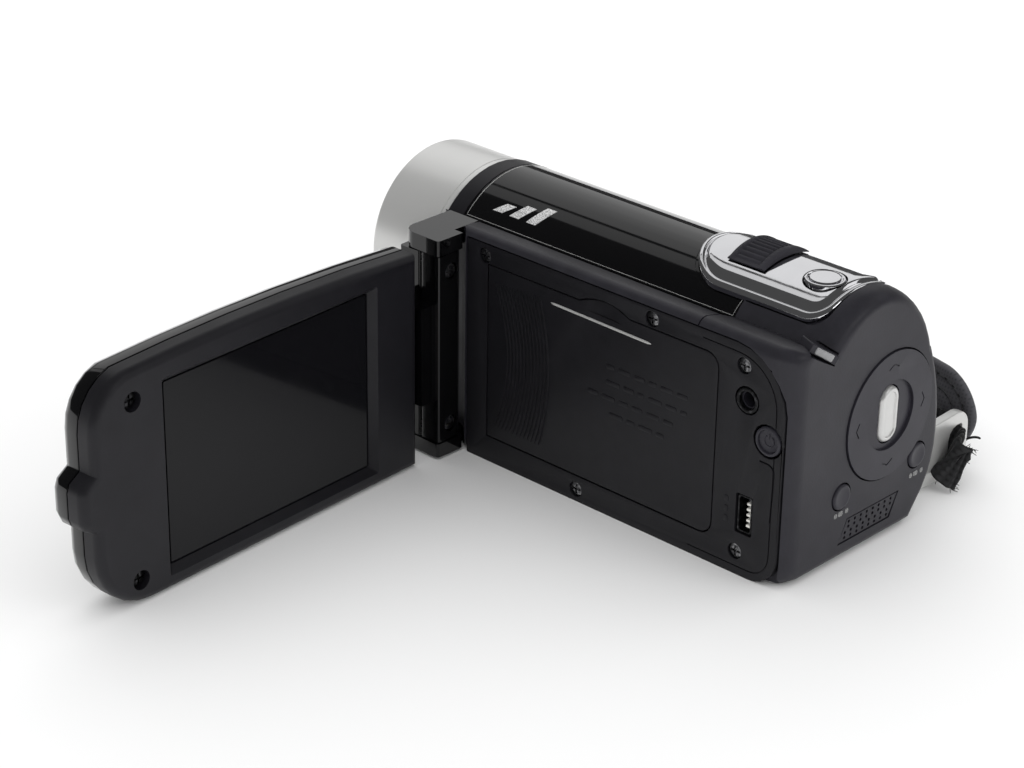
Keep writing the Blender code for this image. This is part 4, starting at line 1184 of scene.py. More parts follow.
def make_battery_door():
    """Battery door with its scoop, a raised ridge under the scoop made silver to paint the highlight that the
    ridge catches, and its moulded legend.
    """
    item = copied("battery_door")
    ease(item, 0.15)
    piece(item, "door", plate_black, "matte_black", "battery_door")
    make_door_ribs()
    y0, z1 = DOOR_LOW[1], DOOR_HIGH[2]
    # Painted highlight: the ridge under the scoop is bright silver, so that it shows as the light line its
    # edge catches.
    highlight_y = np.linspace(y0 + RIDGE_HIGHLIGHT_START, y0 + RIDGE_HIGHLIGHT_END, 30)
    highlight_z = np.full(30, z1 - 4.15) - 0.012 * (highlight_y - y0 - RIDGE_HIGHLIGHT_START)
    highlight_path = np.stack([np.full(30, SIDE_X + 0.02), highlight_y, highlight_z], -1)
    piece(swept("door_ridge_highlight", highlight_path, 0.24, 8, 1.0, up=(1, 0, 0)), "door", lens_silver, "satin_silver")
    make_door_legend()


def make_door_ribs():
    """Raised grip ribs: each bows towards the rear as a parabola in z, and flatter from one to the next."""
    sizes = bpy.context.scene.camcorder_sizes
    y0, z0, z1 = DOOR_LOW[1], DOOR_LOW[2], DOOR_HIGH[2]
    middle = (z0 + RIB_MARGIN + z1 - RIB_TOP_MARGIN) / 2
    half = (z1 - z0 - RIB_MARGIN - RIB_TOP_MARGIN) / 2
    ribs = []
    for i in range(sizes.rib_count):
        share = i / max(sizes.rib_count - 1, 1)
        z = np.linspace(z0 + RIB_MARGIN, z1 - RIB_TOP_MARGIN + 0.9 * share, 40)
        y = y0 + 1.9 + RIB_SPREAD * share + (RIB_BOW - share) * (1 - ((z - middle) / half) ** 2)
        path = np.stack([np.full(40, SIDE_X), y, z], -1)
        ribs.append(swept(f"rib_{i}", path, RIB_R, 6, sizes.rib_height / RIB_R, up=(1, 0, 0)))
    piece(together("door_ribs", ribs), "door", plate_black, "matte_black")


def make_door_legend():
    """Generic moulded legend on the door: rows of short low bars where instructions would be."""
    bars = []
    for y, z, lengths in LEGEND_ROWS:
        for i, length in enumerate(lengths * 2):
            outline = rounded_box(y - length, z - 0.45, y, z + 0.45, 0.35, 3)
            bars.append(prism(f"bar_{z}_{i}", outline, "X", SIDE_X - 0.2, SIDE_X + 0.09, 0.06, 2))
            y -= length + 0.9
    piece(together("door_legend", bars), "door", plate_black, "matte_black")


def make_jack():
    """Plug socket: dark ring, bore and its inner contact."""
    low, high = ends("av_jack")
    centre = centre_of("av_jack", 1, 2)
    r = (high[1] - low[1]) / 2
    face = high[0]
    rim = arc(r - 0.25, face - 0.25, 0.25, 0, 90, 4)
    mouth = arc(1.95, face - 0.2, 0.2, 90, 180, 4)
    bottom = [(1.75, low[0] + 1.2), (0.4, low[0] + 1.0), (0.4, low[0])]
    ring = turned("av_jack_look", np.vstack([[(r, low[0])], rim, mouth, bottom]), centre, "X", 64)
    piece(ring, "body", dark_screw, "satin_silver", "av_jack")
    inner = JACK_SLEEVE_R - 0.27
    front, back = face - 0.9, low[0] + 1.4
    sleeve = [(JACK_SLEEVE_R, front), (JACK_SLEEVE_R, back), (inner, back), (inner, front)]
    piece(turned("jack_sleeve", sleeve, centre, "X", 48), "body", casing_black, "matte_black")


def make_usb():
    """Small data socket: folded steel shell, tongue and bright contacts, with three low bars beside it."""
    low, high = ends("usb_shell")
    eased_copy("usb_shell", "body", dark_screw, "steel", 0.08)
    eased_copy("usb_tongue", "body", control_black, "matte_black", 0.1)
    fins = []
    for i in range(CONTACTS):
        z = low[2] + 1.5 + CONTACT_PITCH * i
        outline = rounded_box(high[1] - 1.35, z - 0.24, high[1] - 0.45, z + 0.24, 0.08, 2)
        fins.append(prism(f"fin_{i}", outline, "X", high[0] - 4.4, high[0] - 0.12, 0.1, 2))
    piece(together("usb_contacts", fins), "body", contact_gold, "brass")
    marks = []
    for i in range(3):
        z = low[2] + 1.6 + 2.0 * i
        outline = rounded_box(low[1] - 3.0, z - MARK_TALL / 2, low[1] - 2.0, z + MARK_TALL / 2, 0.3, 3)
        marks.append(prism(f"mark_{i}", outline, "X", SIDE_X - 0.2, SIDE_X + 0.08, 0.05, 2))
    piece(together("socket_mark", marks), "body", plate_black, "matte_black")


def make_power_button():
    """Power button: a round key with a raised rim and a ring with an upright bar in its dish."""
    low, high = ends("power_button")
    centre = centre_of("power_button", 1, 2)
    top = high[0]
    rim = (high[1] - low[1]) / 2 - KEY_GAP
    shoulder = arc(rim - 0.35, top - 0.35, 0.35, 0, 90, 5)[::-1]
    dish = [(0, top - 0.62), (2.0, top - 0.60), (2.12, top - 0.54), (2.2, top - 0.12), (2.32, top)]
    profile = np.vstack([dish, shoulder, [(rim, low[0]), (0, low[0])]])
    key = dome("power_button_look", profile, centre, "X", 64)
    piece(key, "power", control_black, "matte_black", "power_button")
    level = top - 0.58
    path = on_plane(arc(centre[0], centre[1], SIGN_R, 120, 420, 40), "X", level)
    bar = np.linspace((level, centre[0], centre[1] + 0.35), (level, centre[0], centre[1] + 1.45), 6)
    parts = [("power_ring", path), ("power_bar", bar)]
    sign = together("power_sign", [swept(name, line, SIGN_BEAD, 6, up=(1, 0, 0)) for name, line in parts])
    piece(sign, "power", control_black, "matte_black")


# ---------------------------------------------------------------- hinge and screen panel

# Screw places from the swing axis with the screen closed, and the rounding of the bezel's rim.
ARM_SCREW_DEPTH = 5.35
ARM_SCREW_Y = -1.8
ARM_SCREW_R = 1.45
PANEL_SCREW_DEPTH = 3.55
PANEL_SCREW_Y = 78.1
PANEL_SCREW_R = 1.5
RIM_ROUND = 1.7
WINDOW_REACH = 2.5


def make_screen_screws(node, body, look, y, depth, radius):
    """A lower and an upper screw that face the casing when the screen is closed, depth in from the axis."""
    for label in ("lower", "upper"):
        centre = (SWING[1] + y, centre_of(f"{node}_{label}", 2)[0])
        head = screw_head(f"{node}_look_{label}", centre, "X", SWING[0] - depth, radius, -1, True)
        piece(head, body, look, "steel", f"{node}_{label}")


def make_hinge():
    """Polished hinge lugs with domed ends, the arm and its screws."""
    for label in ("lower", "upper"):
        eased_copy(f"hinge_lug_{label}", "body", gloss_black, "gloss_black", 0.35)
    for node in ("hinge_arm", "hinge_arm_cover"):
        eased_copy(node, "screen_arm", gloss_black, "gloss_black", 0.25)
    make_screen_screws("arm_screw", "screen_arm", screw_steel, ARM_SCREW_Y, ARM_SCREW_DEPTH, ARM_SCREW_R)
    repaint(bright_steel, "hinge_pin_lower", "hinge_pin_upper", "tilt_shaft")


def round_rim(item, width):
    """Round the outer edge of the bezel's inner face, and leave the edges of its window sharp."""
    facing = Matrix.Rotation(math.radians(-OPEN_DEG), 3, "Z") @ Vector((-1, 0, 0))
    glass_low, glass_high = ends("screen_glass")
    (x0, _, z0), (x1, _, z1) = glass_low - WINDOW_REACH, glass_high + WINDOW_REACH
    shape = bmesh.new()
    shape.from_mesh(item.data)

    def outside(point):
        return not (x0 < point.x / MM < x1 and z0 < point.z / MM < z1)

    rim = []
    for edge in shape.edges:
        if len(edge.link_faces) == 2 and all(outside(vertex.co) for vertex in edge.verts):
            near, far = sorted(face.normal.dot(facing) for face in edge.link_faces)
            if far > 0.9 and abs(near) < 0.3 and edge.calc_length() > 0.9 * MM:
                rim.append(edge)
    bmesh.ops.bevel(
        shape, geom=rim, offset=width * MM, segments=6, affect="EDGES", profile=0.5, clamp_overlap=True
    )
    shape.to_mesh(item.data)
    shape.free()


def make_panel():
    """Screen panel: inner bezel, glass, polished outer cover and its screws."""
    body = "screen_panel"
    bezel = copied("screen_bezel")
    round_rim(bezel, RIM_ROUND)
    ease(bezel, 0.25)
    flatten_shading(piece(bezel, body, bezel_black, "matte_black", "screen_bezel"), 25)
    eased_copy("screen_cover", body, gloss_black, "gloss_black", 0.2)
    eased_copy("screen_glass", body, screen_dark, "screen_glass", 0.1)
    make_screen_screws("panel_screw", body, dark_screw, PANEL_SCREW_Y, PANEL_SCREW_DEPTH, PANEL_SCREW_R)
    repaint(casing_black, "display_module")


# ---------------------------------------------------------------- rear and top controls

# Millimetres; the plate's plan, its rolled bead, the slider's arch and ribs, and the light bar's lens.
ARROW_REACH = 1.5
ARROW_R = 9.6
DASH_Z = 10.0
DASH_TALL = 0.95
NOSE_LONG = 10.5
CORNER_R = 4.5
PLATE_ACROSS = 28
BEAD_R = 0.6
SLIDER_ARCH_R = 11.4
RIB_DEEP = 0.55
LIGHT_HALF_LONG = 2.15
LIGHT_HALF_WIDE = 0.72
LIGHT_TALL = 2.22
LIGHT_TILT_DEG = -32
LIGHT_YAW_DEG = -24


def chevron(centre, degrees):
    """The points of an open arrow at a centre, pointing along an angle."""
    turn = math.radians(degrees)
    run = np.array([math.cos(turn), math.sin(turn)])
    side = np.array([-run[1], run[0]]) * ARROW_REACH
    tip = np.asarray(centre) + run * ARROW_REACH * 0.4
    foot = tip - run * ARROW_REACH * 0.55
    return resampled([foot + side, tip, foot - side], 13)


def make_direction_pad():
    """Direction pad with a fine ring round its dish and an engraved open arrow on each side."""
    pad = ease(copied("direction_pad"), 0.22)
    centre = centre_of("direction_pad", 0, 2)
    for i, degrees in enumerate((0, 90, 180, 270)):
        turn = math.radians(degrees)
        spot = centre + ARROW_R * np.array([math.cos(turn), math.sin(turn)])
        carve(pad, groove(f"arrow_{i}", chevron(spot, degrees), 0.26, 0.22, "Y", PAD_TOP))
    flatten_shading(piece(pad, "pad", control_black, "matte_black", "direction_pad"))


def make_centre_button():
    """Silver centre button: a rounded slot with a fine step and a shallow dish."""
    width, height = (OK_HIGH - OK_LOW)[[0, 2]]
    top = OK_HIGH[1]
    rows = (
        (0, OK_LOW[1]), (0, top - 0.7), (0.15, top - 0.35), (0.4, top - 0.1), (0.75, top),
        (1.0, top - 0.02), (1.15, top - 0.22), (1.3, top - 0.24), (1.6, top - 0.16), (2.0, top - 0.12),
    )
    outline = stadium(*centre_of("centre_button", 0, 2), width, height, 20)
    button = terraced("centre_button_look", outline, "Y", rows)
    piece(button, "centre", cast_silver, "satin_silver", "centre_button")


def make_round_buttons():
    """The two small round buttons, each with a soft shoulder and a shallow dish."""
    for name, body in (("menu_button", "menu"), ("mode_button", "mode")):
        low, high = ends(name)
        r, top = (high[0] - low[0]) / 2, high[1]
        rho = np.linspace(0, r - 0.6, 8)
        dish = np.stack([rho, top - 0.22 * (1 - (rho / (r - 0.6)) ** 2)], -1)
        shoulder = arc(r - 0.45, top - 0.45, 0.45, 90, 0, 6)
        profile = np.vstack([dish, shoulder, [(r, low[1]), (0, low[1])]])
        button = dome(name + "_look", profile, centre_of(name, 0, 2), "Y", 56)
        piece(button, body, control_black, "matte_black", name)


def make_rear_marks():
    """Generic pale dashes under the two round buttons, where their printed names would be."""
    dashes = []
    for name in ("menu_button", "mode_button"):
        x0 = centre_of(name, 0)[0] - 0.9
        for i, width in enumerate((0.9, 1.3, 0.9)):
            left = x0 + 1.75 - 1.65 * i
            outline = rounded_box(left, DASH_Z, left + width, DASH_Z + DASH_TALL, 0.3, 3)
            dashes.append(prism(f"{name}_dash_{i}", outline, "Y", REAR_Y - 0.2, REAR_Y + 0.04))
    piece(together("rear_marks", dashes), "body", label_grey, "satin_silver")


def make_rear_controls():
    """Direction pad, centre button, round buttons and grille."""
    make_direction_pad()
    make_centre_button()
    make_round_buttons()
    make_rear_marks()
    eased_copy("speaker_grille", "body", casing_black, "matte_black", 0.0)
    repaint(bright_steel, "speaker", "microphone")


def top_plan():
    """Right half of the top plate's plan: an oval nose, a straight side and a round rear corner."""
    half_width = TOP_HIGH[0]
    start, stop = TOP_LOW[1] + NOSE_LONG, TOP_HIGH[1] - CORNER_R
    front = arc(0, start, half_width, -90, 0, 30, NOSE_LONG)
    side = np.stack([np.full(14, half_width), np.linspace(start, stop, 16)[1:-1]], -1)
    rear = arc(half_width - CORNER_R, stop, CORNER_R, 0, 90, 10)
    return np.vstack([front, side, rear])


def on_barrel(plan, level):
    """Plan points laid on a cylinder of the given radius about the barrel's axis."""
    plan = np.asarray(plan, float)
    z = BARREL_Z + np.sqrt(np.maximum(level**2 - plan[..., 0] ** 2, 0))
    return np.stack([plan[..., 0], plan[..., 1], z], -1)


def make_top_plate():
    """Chrome plate: a rolled rim, a fine valley inside it and a raised field, all bent round the barrel."""
    half = top_plan()
    outline = symmetric_ring(half, PLATE_ACROSS)
    top = TOP_HIGH[2] - BARREL_Z
    edge = top - 0.45
    turn = np.radians(np.linspace(0, 150, 13))
    rim = [(BEAD_R * (1 - math.cos(a)), edge - BEAD_R * (1 - math.sin(a))) for a in turn]
    under = [(0.8, top - 1.5), (0.0, top - 1.5 + 0.01)]
    valley = [(1.25, edge - 0.34), (1.4, edge - 0.28), (1.6, edge - 0.1)]
    field = [(1.85, edge + 0.2), (2.1, edge + 0.36), (2.6, edge + 0.44), (3.4, top)]
    ring_rows = [(drawn_in(outline, inset), level) for inset, level in under + rim + valley + field]
    plate = skin("top_plate_look", ring_rows, on_barrel, len(half), PLATE_ACROSS)
    r = (SHUTTER_HIGH[0] - SHUTTER_LOW[0]) / 2 + 0.28
    room = arc(*centre_of("shutter_button", 0, 1), r, 0, 355, 71)
    carve(plate, prism("shutter_room", room, "Z", 40, 60))
    piece(plate, "body", chrome, "chrome", "top_plate", smooth=40)


def make_zoom_slider():
    """Zoom slider: an arch with ribs along Y between two smooth lips.

    Across x the top follows a circle; between the lips its height also falls and rises once a rib.
    Each station is (y, how far its top is lowered, how smooth it is).
    """
    y0, long = SLIDER_LOW[1], SLIDER_HIGH[1] - SLIDER_LOW[1]
    half_width = SLIDER_HIGH[0]
    under = TOP_HIGH[2] - BARREL_Z + 0.25
    count = bpy.context.scene.camcorder_sizes.slider_ribs
    x = np.linspace(half_width, -half_width, 14 * count + 1)
    crown = SLIDER_HIGH[2] - SLIDER_ARCH_R + np.sqrt(SLIDER_ARCH_R**2 - x**2)
    edge = np.clip((half_width - np.abs(x)) / 0.8, 0, 1)
    wave = 0.5 - 0.5 * np.cos(2 * math.pi * count * (x / (2 * half_width) + 0.5))
    ribbed = crown - RIB_DEEP * wave**1.6 * edge
    lowest = BARREL_Z + np.sqrt(under**2 - x**2) + 0.2
    floor_x = np.linspace(-half_width, half_width, 25)
    floor_z = BARREL_Z + np.sqrt(under**2 - floor_x**2)
    stations = (
        (0, 0.5, 1), (0.12, 0.2, 1), (0.4, 0, 1), (0.9, 0, 1), (1.25, 0.25, 0.4), (1.5, 0.1, 0),
        (long - 2.1, 0.1, 0), (long - 1.8, 0.3, 0.4), (long - 1.45, 0, 1), (long - 0.5, 0, 1),
        (long - 0.15, 0.2, 1), (long, 0.55, 1),
    )
    rings = []
    for y, drop, smooth in stations:
        height = np.maximum(crown * smooth + ribbed * (1 - smooth) - drop, lowest)
        top = np.stack([x, np.full_like(x, y0 + y), height], -1)
        base = np.stack([floor_x, np.full_like(floor_x, y0 + y), floor_z], -1)
        rings.append(np.concatenate([top, base]))
    slider = lofted("zoom_slider_look", rings)
    piece(slider, "zoom", grip_black, "matte_black", "zoom_slider", smooth=50)


def make_shutter_button():
    """Shutter button: a domed chrome cap in its own rim, with a fine gap between."""
    low = SHUTTER_LOW[2]
    r = (SHUTTER_HIGH[0] - SHUTTER_LOW[0]) / 2
    top = SHUTTER_HIGH[2] - 0.4
    rho = np.linspace(0, r - 1.05, 10)
    cap = np.stack([rho, top - 0.16 * (rho / (r - 1.05)) ** 2], -1)
    edge = [(r - 0.92, top - 0.3), (r - 0.86, top - 0.75), (r - 0.62, top - 0.75), (r - 0.58, top - 0.42)]
    rim = [(r - 0.45, top - 0.33), (r - 0.2, top - 0.36), (r, top - 0.6), (r, low), (0, low)]
    profile = np.vstack([cap, edge, rim])
    button = dome("shutter_button_look", profile, centre_of("shutter_button", 0, 1), "Z", 72)
    piece(button, "shutter", chrome, "chrome", "shutter_button")


def make_top_controls():
    """Chrome plate, ribbed zoom slider, shutter button and the light bar."""
    make_top_plate()
    make_zoom_slider()
    make_shutter_button()
    make_light_bar()


def make_light_bar():
    """Light bar over the rear shoulder: a black holder and a short clear lens a little proud of it."""
    eased_copy("indicator_light", "body", casing_black, "matte_black", 0.25)
    long, wide = LIGHT_HALF_LONG, LIGHT_HALF_WIDE
    lens = prism("light_lens", rounded_box(-long, -wide, long, wide, 0.35, 4), "Y", 0.0, LIGHT_TALL, 0.25, 3)
    tilt = Matrix.Rotation(math.radians(LIGHT_TILT_DEG), 4, "Y")
    yaw = Matrix.Rotation(math.radians(LIGHT_YAW_DEG), 4, "Z")
    middle = Vector(centre_of("indicator_light", 0, 1, 2)) * MM
    lens.data.transform(Matrix.Translation(middle) @ yaw @ tilt)
    lens.data.update()
    piece(lens, "body", lamp_clear, "clear")


def make_small_parts():
    """Finishes of the small pieces of the front, inside and base."""
    repaint(lamp_clear, "front_lamp")
    repaint(turned_brass, "tripod_bush")
    repaint(cell_wrap, "battery_pack")
    repaint(bright_steel, "card_slot")
    repaint(control_black, "memory_card")


# ---------------------------------------------------------------- strap

# Lines are (x, y) or (x, y, z); PAD_STEPS and STITCH_ROWS are (inset from the edge, half thickness).
PAD_BOX = ends("strap_pad")
PAD_Z = (PAD_BOX[0][2] + PAD_BOX[1][2]) / 2
PAD_LINE = ((-40.2, 52.4), (-40.5, 46.5), (-43.6, 33.0), (-46.0, 15.0), (-44.6, -4.0), (-36.5, -19.5))
PAD_THICK = 4.2
PAD_NOSE = 9.5
PAD_TAIL = 5.0
PAD_ACROSS = 26
PAD_STEPS = (
    (0.0, 0.0), (0.02, 0.35), (0.12, 0.62), (0.4, 0.9), (1.0, 1.08), (1.7, 1.05), (2.2, 0.88), (2.45, 0.6),
    (2.7, 0.88), (3.3, 1.25), (4.1, 1.4), (4.55, 1.3), (4.75, 1.1), (4.95, 1.35), (5.6, 1.75), (6.6, 2.05),
)
STITCH_ROWS = ((1.9, 0.98), (4.75, 1.12))
STITCHES = 70
STITCH_R = 0.16
WEB_FRONT_Z = 9.6
WEB_FRONT_LINE = (
    (-42.4, -6.5), (-39.4, -11.5), (-34.5, -15.6), (-29.5, -17.4), (-26.6, -19.6), (-25.8, -25.5),
)
WEB_REAR_LINE = (
    (-40.0, 45.0, 6.3), (-39.2, 48.0, 6.3), (-37.4, 49.5, 6.3), (-35.8, 50.8, 6.4), (-35.1, 52.4, 6.4),
    (-33.2, 53.7, 6.5), (-31.2, 54.5, 6.3), (-30.9, 55.7, 5.4), (-32.1, 57.2, 4.5),
)
WEB_REAR_LEAN = (
    (0, 0, 1), (0, 0, 1), (0, 0, 1), (0, 0, 1), (0.05, 0, 1), (0.4, 0, 0.95), (0.75, 0, 0.8),
    (0.7, 0.05, 0.8), (0.55, 0.1, 1),
)
WEB_PITCH = 1.15
WEB_SQUARE = 0.55
END_YARNS = 26
ALL_YARNS = 46
YARN_R = 0.07
STRAY_FROM = (-37.0, 54.0, 8.2)
STRAY_RUN = (-1.6, 3.2, 2.2)
STRAY_CURL = (0.5, -0.6, -1.6)
STRAY_R = 0.24


def smooth_line(points, count):
    """Points read along a Catmull-Rom curve and spaced evenly, (count, k)."""
    p = np.asarray(points, float)
    p = np.vstack([p[:1], p, p[-1:]])
    t = np.linspace(0, 1, 12, endpoint=False)[:, None]
    parts = [
        0.5 * (2 * b + (c - a) * t + (2 * a - 5 * b + 4 * c - d) * t**2 + (3 * b - a - 3 * c + d) * t**3)
        for a, b, c, d in zip(p, p[1:], p[2:], p[3:])
    ]
    return resampled(np.vstack(parts + [p[-1:]]), count)


def tape(middle, across, width, thick):
    """Rings and surface map of ribbed webbing along a middle line (n, 3), its width along across (n, 3).

    The section is a flat oval; its thickness swells once every pitch along the line, and its edges dip there.
    """
    run = unit(np.gradient(middle, axis=0))
    across = unit(across - run * (across * run).sum(1, keepdims=True))
    normal = np.cross(run, across)
    length = lengths_along(middle)
    angle = np.linspace(0, 2 * math.pi, 36, endpoint=False)
    wide, deep = (np.sign(part) * np.abs(part) ** WEB_SQUARE for part in (np.cos(angle), np.sin(angle)))
    wave = np.cos(2 * math.pi * length / WEB_PITCH)
    half_wide = width / 2 * (0.985 + 0.015 * wave)
    half_thick = thick / 2 * (0.78 + 0.22 * wave)
    rings = (
        middle[:, None]
        + across[:, None] * (wide[None] * half_wide[:, None])[..., None]
        + normal[:, None] * (deep[None] * half_thick[:, None])[..., None]
    )
    shape = rings.shape[:2]
    uv = np.stack([np.broadcast_to((wide + 1) / 2, shape), np.broadcast_to(length[:, None] * MM, shape)], -1)
    return rings, uv.reshape(-1, 2)


def make_rear_webbing():
    """The webbing's tail: round the plate's outer bar, through its slot and twisted to a frayed end."""
    middle = smooth_line(WEB_REAR_LINE, 230)
    across = smooth_line(WEB_REAR_LEAN, 230) * [-1, 1, 1]
    rings, uv = tape(middle, across, 8.9, 1.7)
    ragged = np.random.default_rng(7).normal(0, 0.22, rings.shape[1])
    run = middle[-1] - middle[-8]
    run /= np.linalg.norm(run)
    for back, share in ((1, 1.0), (2, 0.7), (3, 0.4)):
        rings[-back] += run * (ragged * share)[:, None]
    web = lofted("strap_web_rear_look", rings, uv=uv)
    piece(web, "body", webbing, "web_black", "strap_web_rear", smooth=60)
    make_frayed_ends(rings, run)


def make_frayed_ends(rings, run):
    """Loose yarns that stand out of the webbing's cut end and along its two selvedges."""
    rng = np.random.default_rng(11)
    strands = []
    t = np.linspace(0, 1, 5)[:, None]
    for i in range(ALL_YARNS):
        at_end = i < END_YARNS
        if at_end:
            at = rings[-1][rng.integers(rings.shape[1])]
        else:
            at = rings[rng.integers(120, 225)][rng.choice([0, 18])]
        lean = rng.normal(0, 0.55, 3)
        if not at_end:
            lean += at - rings[170].mean(0)
            lean /= np.linalg.norm(lean)
        reach = rng.uniform(0.35, 0.95) * (1.0 if at_end else 0.55)
        way = run if at_end else lean
        path = at + (way * reach + lean * 0.3) * t + rng.normal(0, 0.12, 3) * t**2
        strands.append(swept(f"yarn_{i}", path, YARN_R, 5, up=(0.3, 0.2, 1)))
    t = np.linspace(0, 1, 12)[:, None]
    stray = np.array(STRAY_FROM) + np.array(STRAY_RUN) * t + np.array(STRAY_CURL) * t**2
    strands.append(swept("stray_thread", stray, STRAY_R, 6, up=(1, 0, 0.2)))
    piece(together("webbing_yarns", strands), "body", thread, "web_black")


def make_front_webbing():
    """The webbing at the front end, through the front loop."""
    middle = smooth_line([(x, y, WEB_FRONT_Z) for x, y in WEB_FRONT_LINE], 200)
    rings, uv = tape(middle, np.tile([0.0, 0.0, 1.0], (200, 1)), 9.0, 1.5)
    web = lofted("strap_web_front_look", rings, uv=uv)
    piece(web, "body", webbing, "web_black", "strap_web_front", smooth=60)


def pad_place(plan, lift):
    """Plan points (z, s) of the pad laid round its curved line, lifted from its middle sheet."""
    line = smooth_line(PAD_LINE, 400)
    run = unit(np.gradient(line, axis=0))
    length = lengths_along(line)
    s = plan[..., 1]
    x, y = (np.interp(s, length, line[:, k]) for k in (0, 1))
    out = np.stack([np.interp(s, length, run[:, 1]), -np.interp(s, length, run[:, 0])], -1)
    x = x + out[..., 0] * (PAD_THICK / 2 + lift)
    y = y + out[..., 1] * (PAD_THICK / 2 + lift)
    return np.stack([x, y, PAD_Z + plan[..., 0]], -1)


def make_pad():
    """Grip pad: a crowned cushion with bound edges and a sewn channel inside the binding.

    Its plan is a long rectangle with a round rear end. The thickness grows from the edge by the steps of
    PAD_STEPS: a rolled binding, a pulled-in seam, a low border, a sewn channel and a full middle.
    """
    line = smooth_line(PAD_LINE, 400)
    total = lengths_along(line)[-1]
    half_high = (PAD_BOX[1][2] - PAD_BOX[0][2]) / 2 - 0.1
    front = arc(0, PAD_NOSE + 0.1, half_high, -90, 0, 26, PAD_NOSE)
    side = np.stack([np.full(60, half_high), np.linspace(PAD_NOSE, total - PAD_TAIL, 62)[1:-1]], -1)
    rear = arc(half_high - PAD_TAIL, total - PAD_TAIL - 0.1, PAD_TAIL, 0, 90, 10)
    half = np.vstack([front, side, rear])
    outline = symmetric_ring(half, PAD_ACROSS)
    pad_fill = bpy.context.scene.camcorder_sizes.pad_fill
    fill = 0.7 + 0.5 * pad_fill
    top = [(drawn_in(outline, inset), lift * fill) for inset, lift in PAD_STEPS]
    bottom = [(ring, -lift) for ring, lift in top[:0:-1]]
    pad = skin("strap_pad_look", bottom + top, pad_place, len(half), PAD_ACROSS, uv_scale=MM)
    piece(pad, "body", pad_cloth, "web_black", "strap_pad", smooth=70)
    make_stitches(outline, fill)


def make_stitches(outline, fill):
    """Rows of stitches on both faces of the pad, on the binding and in the sewn channel."""
    stitches = []
    for inset, lift in STITCH_ROWS:
        ring = even(drawn_in(outline, inset), 2 * STITCHES)
        for i in range(0, len(ring), 2):
            near, far = ring[i], ring[(i + 1) % len(ring)]
            for side in (-1, 1):
                height = side * (lift * fill + 0.02) * np.array([0.9, 1.08, 0.9])
                path = pad_place(np.stack([near, (near + far) / 2, far]), height)
                stitches.append(swept(f"stitch_{i}", path, STITCH_R, 5, up=(0.2, 0.1, 1)))
    piece(together("pad_stitches", stitches), "body", thread, "web_black")


def make_strap():
    """Silver plate and loop, webbing and the padded grip."""
    for end in ("rear", "front"):
        eased_copy("strap_bracket_" + end, "body", cast_silver, "satin_silver", 0.55)
    make_rear_webbing()
    make_front_webbing()
    make_pad()


# ---------------------------------------------------------------- stage

# The floor's half side in millimetres; a light is (name, place, target, width, height, share of the key).
FLOOR_HALF = 3000.0
LIGHTS = (
    ("overhead_wide", (-1.785, -1.5, 0.8), (-1.785, -1.5, 0.0), 3.03, 2.4, 1.0),
    ("overhead_narrow", (-0.12, -0.9, 0.8), (-0.12, -0.9, 0.0), 0.2, 1.2, 0.027),
    ("shoulder", (-0.9, 0.38, 0.8), (-0.9, 0.38, 0.0), 0.5, 0.5, 0.04),
    ("behind", (-0.25, 0.9, 0.55), (0.0, 0.0, 0.02), 0.5, 0.3, 0.06),
)
VIEW_FROM = Vector((363.7, 313.3, 244.85)) * MM
VIEW_DIRECTION = Vector((-0.6532, -0.6202, -0.4345)).normalized()
VIEW_RIGHT = Vector((-0.6932, 0.7206, 0.0135)).normalized()
LENS_MM = 95.6
SENSOR_MM = 36.0


def make_camera():
    """The camera, at the angle the camcorder is shown from."""
    data = bpy.data.cameras.new("view")
    data.lens = LENS_MM
    data.sensor_width = SENSOR_MM
    data.clip_start = 0.01
    camera = bpy.data.objects.new("view", data)
    up = VIEW_RIGHT.cross(VIEW_DIRECTION).normalized()
    right = VIEW_DIRECTION.cross(up).normalized()
    turn = Matrix((right, up, -VIEW_DIRECTION)).transposed().to_4x4()
    camera.matrix_world = Matrix.Translation(VIEW_FROM) @ turn
    bpy.context.scene.collection.objects.link(camera)
    bpy.context.scene.camera = camera


def light(name, place, target, width, height, power):
    """A soft rectangular light at a place in metres, aimed at a target."""
    data = bpy.data.lights.new(name, "AREA")
    data.shape = "RECTANGLE"
    data.size = width
    data.size_y = height
    data.energy = power
    lamp = bpy.data.objects.new(name, data)
    place = Vector(place)
    aim = (Vector(target) - place).to_track_quat("-Z", "Y")
    lamp.matrix_world = Matrix.Translation(place) @ aim.to_matrix().to_4x4()
    bpy.context.scene.collection.objects.link(lamp)


def make_surroundings(looks):
    """A pale dome that lights the object evenly but mirrors dark, as a black-draped studio does."""
    world = bpy.data.worlds.new("surroundings")
    bpy.context.scene.world = world
    world.use_nodes = True
    tree = world.node_tree
    path = tree.nodes.new("ShaderNodeLightPath")
    strength = tree.nodes.new("ShaderNodeMapRange")
    strength.inputs["To Min"].default_value = looks.dome
    strength.inputs["To Max"].default_value = looks.drape
    tree.links.new(path.outputs["Is Glossy Ray"], strength.inputs["Value"])
    shade = tree.nodes["Background"]
    shade.inputs["Color"].default_value = (1, 1, 1, 1)
    tree.links.new(strength.outputs["Result"], shade.inputs["Strength"])


def make_stage():
    """Pale floor, pale surroundings and soft lights."""
    looks = bpy.context.scene.camcorder_looks
    corners = FLOOR_HALF * np.array([(-1, -1, 0), (1, -1, 0), (1, 1, 0), (-1, 1, 0)])
    floor = mesh_from("floor", corners, [[0, 1, 2, 3]])
    floor.data.materials.append(material(floor_pale))
    make_surroundings(looks)
    bpy.context.scene.view_settings.view_transform = "Standard"
    for name, place, target, width, height, share in LIGHTS:
        light(name, place, target, width, height, share * looks.key_power)


# ---------------------------------------------------------------- operators and panel


class CamcorderPiece:
    """What every making operator shares."""

    bl_options = {"REGISTER", "UNDO"}
    steps = ()

    def execute(self, context):
        """Make this operator's pieces in order."""
        for step in self.steps:
            step()
        return {"FINISHED"}


